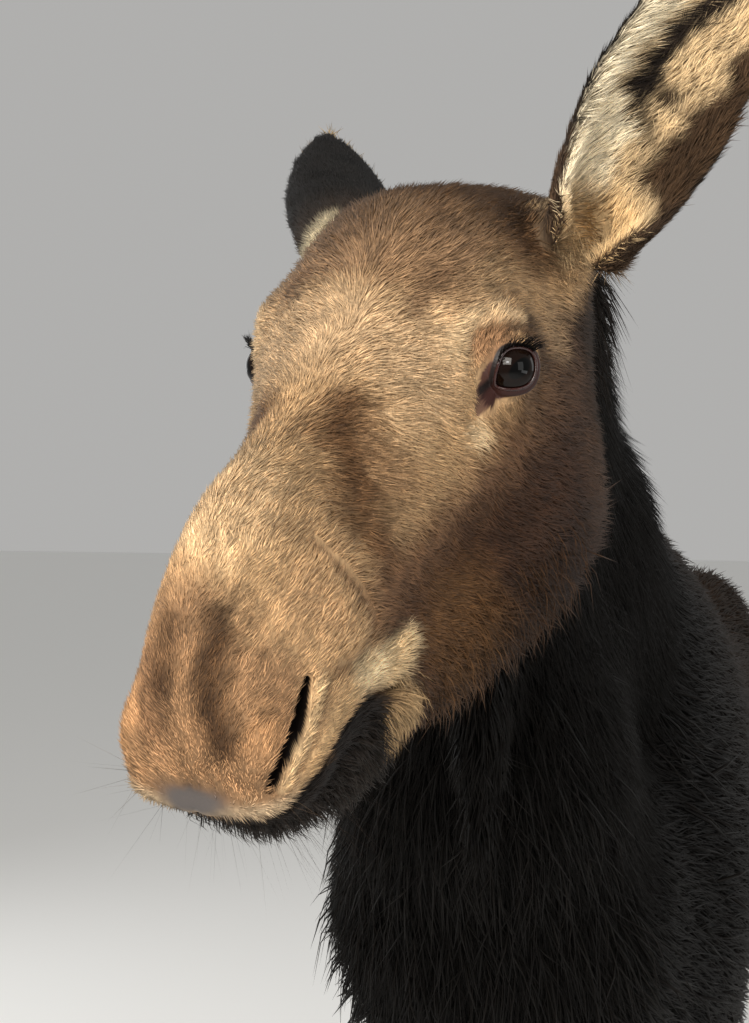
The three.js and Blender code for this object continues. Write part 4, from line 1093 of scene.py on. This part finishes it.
def tufts(name, root, normal, way, long, wide, rise, colour, chart, rng, bends=False):
    """A coat piece: a closed three-sided spike for each root, straight or with one bend."""
    count = len(root)
    side = unit(np.cross(way, normal))
    spin = rng.normal(0, 0.35, count)[:, None]
    side = unit(side + normal * spin)
    rise = np.radians(rise)[:, None]
    first = way * np.cos(rise) + normal * np.sin(rise)
    rings = [root - normal * SINK]
    sizes = [wide]
    if bends:
        rings.append(root + first * long[:, None] * BEND_AT)
        sizes.append(wide * BEND_WIDTH)
        low = rise * BEND_DOWN
        last = way * np.cos(low) + normal * np.sin(low)
        tip = rings[-1] + last * long[:, None] * (1 - BEND_AT)
    else:
        tip = root + first * long[:, None]
    lifted = unit(np.cross(side, first))
    lifted *= np.sign((lifted * normal).sum(1))[:, None]
    points = []
    for ring, size in zip(rings, sizes):
        half = side * size[:, None] / 2
        points += [ring - half, ring + half, ring + lifted * size[:, None] * RIDGE]
    points.append(tip)
    points = np.stack(points, 1)
    per = points.shape[1]
    top = per - 4
    faces = [(0, 1, 2)]
    for k in range(3):
        after = (k + 1) % 3
        if bends:
            faces += [(k, k + 3, after + 3), (k, after + 3, after)]
        faces.append((top + k, per - 1, top + after))
    faces = np.array(faces)
    all_faces = (np.arange(count)[:, None, None] * per + faces).reshape(-1, 3)
    bend_patch = [(-0.7, 0.2), (0.7, 0.2), (0, 0.6)] * bends
    patch = np.array([(-1, -1), (1, -1), (0, 0)] + bend_patch + [(0, 1)])
    uv = chart[:, None, None] + patch[faces][None] * PATCH
    made = new_mesh(name, points.reshape(-1, 3), all_faces, ("OFBake", uv.reshape(-1, 2)))
    up = [0.0] * 3 + [0.55] * 3 * bends + [1.0]
    add_attribute(made.data, "coat", np.repeat(colour, per, 0))
    add_attribute(made.data, "tip", np.tile(up, count))
    add_attribute(made.data, "strand", np.repeat(rng.uniform(0, 1, count), per))
    return made


def cylinder_chart(points, start, end):
    """An unwrap round an axis: the angle about it across, the distance along it up, 0.01 to 0.99."""
    start, end = np.array(start, float), np.array(end, float)
    along = (end - start) / np.linalg.norm(end - start)
    aside = unit(np.cross([along], [[0.3, 0.2, 1.0]]))[0]
    above = np.cross(aside, along)
    out = points - start
    turn = np.arctan2(out @ aside, out @ above) / (2 * math.pi) + 0.5
    way = (out @ along) / np.linalg.norm(end - start)
    return np.column_stack([turn, way]).clip(0, 1) * 0.98 + 0.01


# Waves in the lie (their size in mm, a shift of the seed, their strength), and how much tufts differ.
SWAY = [(30, 0, 0.28), (9, 50, 0.22)]
OWN_SWAY = 0.16
LENGTHS, WIDTHS, LIFTS = (0.7, 1.25), (0.6, 1.3), (0.5, 1.6)


def coat_piece(
    name, seed, wanted, chosen, axis, slot, material, bends=False,
    longer=1.0, wider=1.0, lifted=0.0, density=None, sweep=(0, 0, 0), tone=None,
):
    """Grows one coat piece on the chosen faces of the skin. sweep bends its lie, tone its colour,
    and its OFBake map goes round its axis."""
    rng = np.random.default_rng(seed)
    weight = chosen * (1 - bareness[corners].max(1)).clip(0, 1)
    if density is not None:
        weight = weight * density[corners].mean(1)
    face, weights = roots(wanted, weight, rng)
    root = at_roots(places, face, weights)
    normal = unit(at_roots(smooth_normals, face, weights))
    way = at_roots(lie, face, weights)
    scale = at_roots(length, face, weights) * longer / 1000
    size = at_roots(width, face, weights) * wider / 1000
    rise = at_roots(lift, face, weights) + lifted
    sway = 0
    for wave, shift, strength in SWAY:
        waves = [ripple(root * 1000, wave, seed * 3 + shift + k) for k in range(3)]
        sway = sway + np.column_stack(waves) * strength
    way = unit(unit(way) + np.array(sweep)) + sway + rng.normal(0, OWN_SWAY, (wanted, 3))
    way = unit(way - normal * (way * normal).sum(1)[:, None])
    scale = scale * rng.uniform(*LENGTHS, wanted)
    size = size * rng.uniform(*WIDTHS, wanted)
    rise = rise * rng.uniform(*LIFTS, wanted)
    colour = at_roots(markings_and_shade, face, weights)
    if tone:
        colour = paint(colour, tone[0], np.full(wanted, tone[1]))
    chart = cylinder_chart(root, *axis)
    made = tufts(name, root, normal, way, scale, size, rise, colour, chart, rng, bends)
    made.data.materials.append(material)
    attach(made, "root")
    return made


PATCHES = 70.0  # to a metre: patches of paler and darker hair about 14 mm across


# Guard hair: solid keratin hairs, dull and banded. Tufts darken to their roots, where they shade one
# another, and lighten to their tips, and no two are quite the same brown.
def hair_material(name, root_shade, tip_shade, roughness, sheen):
    """Hair over the coat's own colours, multiplied by a shade from root to tip."""
    made, tree, output = new_material(name)
    coat = add_node(tree, "Attribute", {"attribute_name": "coat"}).outputs["Color"]
    tip = add_node(tree, "Attribute", {"attribute_name": "tip"}).outputs["Fac"]
    strand = add_node(tree, "Attribute", {"attribute_name": "strand"}).outputs["Fac"]
    place = add_node(tree, "TexCoord").outputs["Object"]
    banding = add_node(
        tree,
        "MapRange",
        links={"Value": tip, "From Max": 0.8, "To Min": root_shade, "To Max": tip_shade},
    ).outputs[0]
    own = add_node(
        tree, "MapRange", links={"Value": strand, "To Min": 0.62, "To Max": 1.38}
    ).outputs[0]
    patchy = add_node(
        tree,
        "TexNoise",
        links={"Vector": place, "Scale": PATCHES, "Detail": 5.0, "Roughness": 0.7},
    ).outputs["Fac"]
    patchy = add_node(
        tree,
        "MapRange",
        links={"Value": patchy, "From Min": 0.3, "From Max": 0.7, "To Min": 0.7, "To Max": 1.3},
    ).outputs[0]
    shade = add_node(tree, "Math", {"operation": "MULTIPLY"}, {0: banding, 1: own}).outputs[0]
    shade = add_node(tree, "Math", {"operation": "MULTIPLY"}, {0: shade, 1: patchy}).outputs[0]
    colour = add_node(tree, "VectorMath", {"operation": "SCALE"}, {0: coat, "Scale": shade}).outputs[0]
    surface = add_node(
        tree,
        "BsdfPrincipled",
        links={
            "Base Color": colour,
            "Roughness": roughness,
            "IOR": 1.5,
            "Sheen Weight": sheen,
            "Sheen Roughness": 0.5,
            "Specular IOR Level": 0.1,
        },
    )
    tree.links.new(surface.outputs[0], output.inputs["Surface"])
    return made


face_hair = hair_material("short_guard_hair", 0.45, 1.5, 0.62, 0.02)
long_hair = hair_material("long_guard_hair", 0.5, 1.1, 0.58, 0.0)

# Head: short dense hair, finest and thickest set round the eyes, in three pieces.
MUZZLE_END = -150  # mm along the head, where the muzzle's piece meets those of the face
head_axis = from_head([(0, -340, -60), (0, 200, -60)])
faces_x, faces_y, _ = in_head[corners[:, 0]].T
head_faces = owner == FLESH.index("head")
muzzle, left = faces_y < MUZZLE_END, faces_x >= 0
fine = 1 + 0.7 * around_place(m, (86, -10, 0), (70, 70, 60))
fine += 2.4 * around_place(m, (88, -8, 4), (46, 46, 42))
for name, seed, wanted, half, density in (
    ("coat_muzzle", 11, 45500, muzzle, None),
    ("coat_face_left", 12, 43000, ~muzzle & left, fine),
    ("coat_face_right", 13, 42000, ~muzzle & ~left, fine),
):
    coat_piece(
        name, seed, wanted, head_faces & half, head_axis, "face_coat", face_hair, density=density
    )

# Ears: short dark hair on the back, and long pale tufts that stand out of the hollow.
for node, (root, tip, _, _) in EARS.items():
    start = from_head([root])[0]
    end = from_head([np.array(root) + EAR_LENGTH * np.array(tip)])[0]
    inside = ear_inside(places, smooth_normals, node)
    chosen = owner == FLESH.index(node)
    coat_piece(
        "coat_" + node + "_back", 21, 13500, chosen, (start, end), "ear_coat", face_hair,
        density=1.02 - inside,
    )
    coat_piece(
        "coat_" + node + "_lining", 22, 15000, chosen, (start, end), "ear_coat", face_hair,
        longer=1.45, wider=0.9, lifted=6, density=inside,
    )

# Neck and trunk: long coarse hair that hangs back and down, longest on the neck.
neck_low, neck_high = (np.array(c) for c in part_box("neck"))
neck_axis = ((0, neck_low[1], neck_high[2]), (0, neck_high[1], neck_low[2]))
neck_faces = owner == FLESH.index("neck")
coat_piece("coat_neck", 31, 46000, neck_faces, neck_axis, "body_coat", long_hair)
trunk_low, trunk_high = (np.array(c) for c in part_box("trunk"))
trunk_middle = (trunk_low + trunk_high) / 2
trunk_axis = ((0, trunk_low[1], trunk_middle[2]), (0, trunk_high[1], trunk_middle[2]))
trunk_faces = owner == FLESH.index("trunk")
fore = places[corners[:, 0], 1] < trunk_middle[1] - 0.1
coat_piece("coat_fore_body", 32, 29000, trunk_faces & fore, trunk_axis, "body_coat", long_hair)
coat_piece("coat_hind_body", 33, 28000, trunk_faces & ~fore, trunk_axis, "body_coat", long_hair)


def upright_axis(node):
    """From the bottom to the top of a solid's box, through its middle."""
    low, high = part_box(node)
    x, y, _ = (low + high) / 2
    return (x, y, low[2]), (x + 0.001, y, high[2])


# Bell, tail and legs: hanging hair. That of the legs is short and lies close.
for node, wanted in (("bell", 2200), ("tail", 1800)):
    chosen = owner == FLESH.index(node)
    coat_piece("coat_" + node, 34, wanted, chosen, upright_axis(node), "body_coat", long_hair, True)
for number, node in enumerate(LEGS):
    chosen = owner == FLESH.index(node)
    coat_piece("coat_" + node, 41 + number, 7200, chosen, upright_axis(node), "leg_coat", face_hair)


# ---- fringes, mane and bristles ----------------------------------------------------------------
# Where the coat breaks its smooth form: stiff bristles on the chin, longer hair under the jaw and
# behind the corners of the mouth, the mane, locks on the chest, and tufts round the ears' bases.
# They grow from the same skin as the coat and stand through it.
down = head_axes @ np.array([0, 0.1, -1.0])
on_face = (head_faces, head_axis, "face_coat", long_hair)
chin_zone = on_head * ease(-104, -122, m[:, 2]) * ease(-196, -216, m[:, 1])
coat_piece(
    "bristles_chin", 51, 2300, *on_face, bends=True,
    longer=1.9, wider=0.7, lifted=24, density=chin_zone,
    sweep=down * 1.2, tone=("#2a241f", 0.6),
)
# The fringe's tone is its dark brown hair, deepened with painted shade under the jaw.
jaw_zone = on_head * ease(-118, -150, m[:, 2]) * hump(m[:, 1], -80, 125)
coat_piece(
    "fringe_jaw", 52, 4000, *on_face, bends=True,
    longer=1.65, wider=0.75, lifted=4, density=jaw_zone,
    sweep=(0, 0.0, -0.9), tone=("#46301d", 0.6),
)
corner_zone = around_place(m, (52, -182, -136), (20, 28, 24)) * on_head
coat_piece(
    "tuft_mouth_corners", 53, 1500, *on_face, bends=True,
    longer=1.7, wider=0.8, lifted=2, density=corner_zone,
    sweep=head_axes @ np.array([-0.1, -0.5, -2.6]), tone=("#ad8f68", 0.7),
)
behind_ears = share["neck"] * around_place(m, (95, 190, -10), (90, 110, 110))
crest = share["neck"] * ease(0.07, 0.02, np.abs(places[:, 0])) * (smooth_normals[:, 2] > 0.35)
coat_piece(
    "mane", 54, 5200, neck_faces, neck_axis, "body_coat", long_hair,
    bends=True, longer=1.25, wider=0.9, lifted=10, density=behind_ears + 0.6 * crest,
    sweep=(0, 0.2, -0.3), tone=("#1d1610", 0.6),
)
chest_zone = (share["neck"] + share["trunk"]) * ease(-0.25, -0.7, smooth_normals[:, 1])
chest_zone = chest_zone * hump(places[:, 2], 1.2, 0.32)
coat_piece(
    "locks_chest", 55, 2400, neck_faces | trunk_faces, neck_axis, "body_coat", long_hair,
    bends=True, longer=1.7, wider=1.3, lifted=8, density=chest_zone,
)
ear_base = on_head * around_place(m, (88, 140, 26), (48, 44, 46))
ear_base += sum(ease(46, 30, ear_places(places, node)[:, 2]) * share[node] for node in EARS)
coat_piece(
    "tufts_ear_base", 56, 2600, head_faces | np.isin(owner, [FLESH.index(node) for node in EARS]),
    head_axis, "ear_coat", long_hair, bends=True, longer=1.2, wider=0.7, lifted=-2,
    density=ear_base * (smooth_normals[:, 1] < 0.2), sweep=head_axes @ np.array([-0.4, -0.7, -0.2]),
)


# ---- lashes ------------------------------------------------------------------------------------
# Long stiff black hairs along the upper lid, longest over its rear half, that stand out and curve
# back. Each is rooted in the lid's edge.
LASHES = 110
LASH_SPREAD = (55, 172)  # degrees round the lids, from the front over the top to the rear
LASH_WIDTH = 0.0006
LASH_LENGTHS = [0.005, 0.012, 0.015]  # towards the front, in the middle and towards the rear

for side, hand in HANDS.items():
    rng = np.random.default_rng(61)
    turn = np.radians(np.sort(rng.uniform(*LASH_SPREAD, LASHES)))
    root = on_lid(turn, 1.03, EYE_RADIUS + 1.6) + rng.normal(0, 0.4, (LASHES, 3))
    normal = unit(root - EYE_PLACE)
    rear = turn / math.pi
    way = np.outer(0.4 + 0.5 * rear, rearward) + np.outer(0.15 - 0.6 * rear, upward)
    way += rng.normal(0, 0.14, way.shape)
    way = unit(way - normal * (way * normal).sum(1)[:, None])
    flip = np.array([side, 1, 1])
    long = np.interp(rear, [0.3, 0.6, 0.9], LASH_LENGTHS) * rng.uniform(0.7, 1.15, LASHES)
    lashes = tufts(
        "lashes_" + hand,
        from_head(on_side(root, side)),
        normal * flip @ head_axes.T,
        way * flip @ head_axes.T,
        long,
        np.full(LASHES, LASH_WIDTH),
        rng.uniform(45, 75, LASHES),
        flat_colour("#0f0a08", LASHES),
        np.column_stack([rear, np.full(LASHES, 0.5)]),
        rng,
        True,
    )
    lashes.data.materials.append(long_hair)
    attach(lashes, "root")


# ---- whiskers ----------------------------------------------------------------------------------
# Single long thin hairs, set wide apart on the chin and a few on the upper lip.
whisker_zone = around_place(m, (30, -275, -125), (40, 40, 30))
whisker_zone = on_head * (whisker_zone + 0.35 * around_place(m, (40, -318, -88), (30, 24, 24)))
coat_piece(
    "whiskers", 62, 150, *on_face,
    longer=5.5, wider=0.2, lifted=34, density=whisker_zone, sweep=down * 0.9,
    tone=("#3a3029", 0.8),
)


# ---- hooves and dewclaws -----------------------------------------------------------------------
# Cloven hooves and dewclaws of horn, smooth at the wall, with faint growth rings round it and a
# flat worn sole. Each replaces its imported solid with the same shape, rounded.
HORN_ROUNDING = 2  # subdivision levels
SOLE_CREASE = 0.9  # how sharp the sole's edge stays
RING_STEP = 7.0  # mm between growth rings

# Hoof horn: hard keratin with a dull polish, streaked down the wall and ringed round it.
horn, tree, output = new_material("hoof_horn")
place = add_node(tree, "TexCoord").outputs["Object"]
drift = add_node(tree, "TexNoise", links={"Vector": place, "Scale": 30.0, "Detail": 2.0}).outputs["Fac"]
height = add_node(tree, "SeparateXYZ", links={0: place}).outputs["Z"]
rings = add_node(
    tree, "Math", {"operation": "MULTIPLY_ADD"}, {0: height, 1: 2000 * math.pi / RING_STEP, 2: drift}
).outputs[0]
rings = add_node(tree, "Math", {"operation": "SINE"}, {0: rings}).outputs[0]
streaks = add_node(tree, "Mapping", links={"Vector": place, "Scale": (1, 1, 0.12)}).outputs[0]
streaks = add_node(
    tree, "TexNoise", links={"Vector": streaks, "Scale": 500.0, "Detail": 4.0}
).outputs["Fac"]
colour = add_node(
    tree, "Mix", {"data_type": "RGBA"}, {0: streaks, 6: linear("#17130f"), 7: linear("#4a4038")}
).outputs[2]
relief = add_node(
    tree, "Math", {"operation": "MULTIPLY_ADD"}, {0: rings, 1: 0.3, 2: streaks}
).outputs[0]
bump = add_node(
    tree, "Bump", links={"Height": relief, "Strength": 0.5, "Distance": 0.0009}
).outputs[0]
surface = add_node(
    tree,
    "BsdfPrincipled",
    links={"Base Color": colour, "Roughness": 0.46, "Normal": bump, "IOR": 1.54},
)
tree.links.new(surface.outputs[0], output.inputs["Surface"])

for node in sorted(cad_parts):
    if "toe" not in node and "dewclaw" not in node:
        continue
    shape = bmesh.new()
    shape.from_mesh(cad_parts[node].data)
    bmesh.ops.remove_doubles(shape, verts=shape.verts, dist=WELD)
    bmesh.ops.dissolve_limit(shape, angle_limit=math.radians(1), verts=shape.verts, edges=shape.edges)
    crease = shape.edges.layers.float.new("crease_edge")
    lowest = min(v.co.z for v in shape.verts)
    for edge in shape.edges:
        if max(v.co.z for v in edge.verts) < lowest + 0.001:
            edge[crease] = SOLE_CREASE
    mesh = bpy.data.meshes.new("horn_" + node)
    shape.to_mesh(mesh)
    shape.free()
    piece = bpy.data.objects.new("horn_" + node, mesh)
    bpy.context.collection.objects.link(piece)
    rounded = piece.modifiers.new("rounded", "SUBSURF")
    rounded.levels = rounded.render_levels = HORN_ROUNDING
    modified(piece)
    shade_smooth(piece.data)
    piece.data.materials.clear()
    piece.data.materials.append(horn)
    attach(piece, "root")
    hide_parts(node)


# ---- floor, lights and camera ------------------------------------------------------------------
# A plain pale floor of matt paint under even studio light: a large soft key high in front of the
# face, weak fills, a small light for the eyes, and two to the sides for the body.
CAMERA_FROM_EYES = (0.268, -1.0055, -0.077)
CAMERA_TILT, CAMERA_TURN = -1.18, 15.5  # degrees above level, and to the left of straight back
LENS, FILM_HEIGHT = 53.63, 36  # mm
FLOOR_HALF = 30
AIR = 0.56  # how strong the even light from all round is

# Matt paint: pale, and without a gloss that would mirror the animal.
floor_mesh = bpy.data.meshes.new("floor")
floor_signs = [(-1, -1), (1, -1), (1, 1), (-1, 1)]
floor_corners = [(FLOOR_HALF * x, FLOOR_HALF * y, 0) for x, y in floor_signs]
floor_mesh.from_pydata(floor_corners, [], [(0, 1, 2, 3)])
floor = bpy.data.objects.new("floor", floor_mesh)
bpy.context.collection.objects.link(floor)
matt_paint, tree, output = new_material("pale floor")
surface = add_node(
    tree, "BsdfPrincipled", links={"Base Color": linear("#f2f2f0"), "Roughness": 0.9}
)
tree.links.new(surface.outputs[0], output.inputs["Surface"])
floor_mesh.materials.append(matt_paint)

world = bpy.data.worlds.new("studio air")
bpy.context.scene.world = world
world.use_nodes = True
background = world.node_tree.nodes["Background"]
background.inputs["Color"].default_value = linear("#e4e3e1")
background.inputs["Strength"].default_value = AIR


def soft_light(name, place, target, size, power, colour="#ffffff"):
    """A rectangular lamp, its size in metres and its power in watts, turned to a target."""
    lamp = bpy.data.lights.new(name, "AREA")
    lamp.shape = "RECTANGLE"
    lamp.size, lamp.size_y = size
    lamp.energy = power
    lamp.color = linear(colour)[:3]
    obj = bpy.data.objects.new(name, lamp)
    obj.location = place
    obj.rotation_euler = (Vector(target) - Vector(place)).to_track_quat("-Z", "Y").to_euler()
    bpy.context.collection.objects.link(obj)


head_middle = Vector(eyes_middle)
soft_light("key", head_middle + Vector((-0.2, -2.8, 1.6)), head_middle, (1.8, 1.8), 178, "#fff8ef")
soft_light("fill", head_middle + Vector((2.6, -1.6, 0.4)), head_middle, (1.5, 2.0), 24, "#f6f6f4")
soft_light("catch light", head_middle + Vector((-0.1, -2.7, 1.3)), head_middle, (0.5, 0.35), 20)
soft_light("low glow", head_middle + Vector((2.6, -0.4, -0.7)), head_middle, (1.6, 0.5), 9)
soft_light("side", (3.2, 2.9, 2.6), (0, 0.4, 1.0), (2.5, 2.5), 26)
soft_light("far side", (-3.4, 1.6, 2.4), (0, 0.2, 1.0), (2.5, 2.5), 40)

camera = bpy.data.cameras.new("camera")
camera.sensor_fit = "VERTICAL"
camera.sensor_height = FILM_HEIGHT
camera.lens = LENS
viewpoint = bpy.data.objects.new("camera", camera)
viewpoint.location = head_middle + Vector(CAMERA_FROM_EYES)
viewpoint.rotation_euler = (math.radians(90 + CAMERA_TILT), 0, math.radians(CAMERA_TURN))
bpy.context.collection.objects.link(viewpoint)
bpy.context.scene.camera = viewpoint
bpy.context.scene.view_settings.view_transform = "Standard"
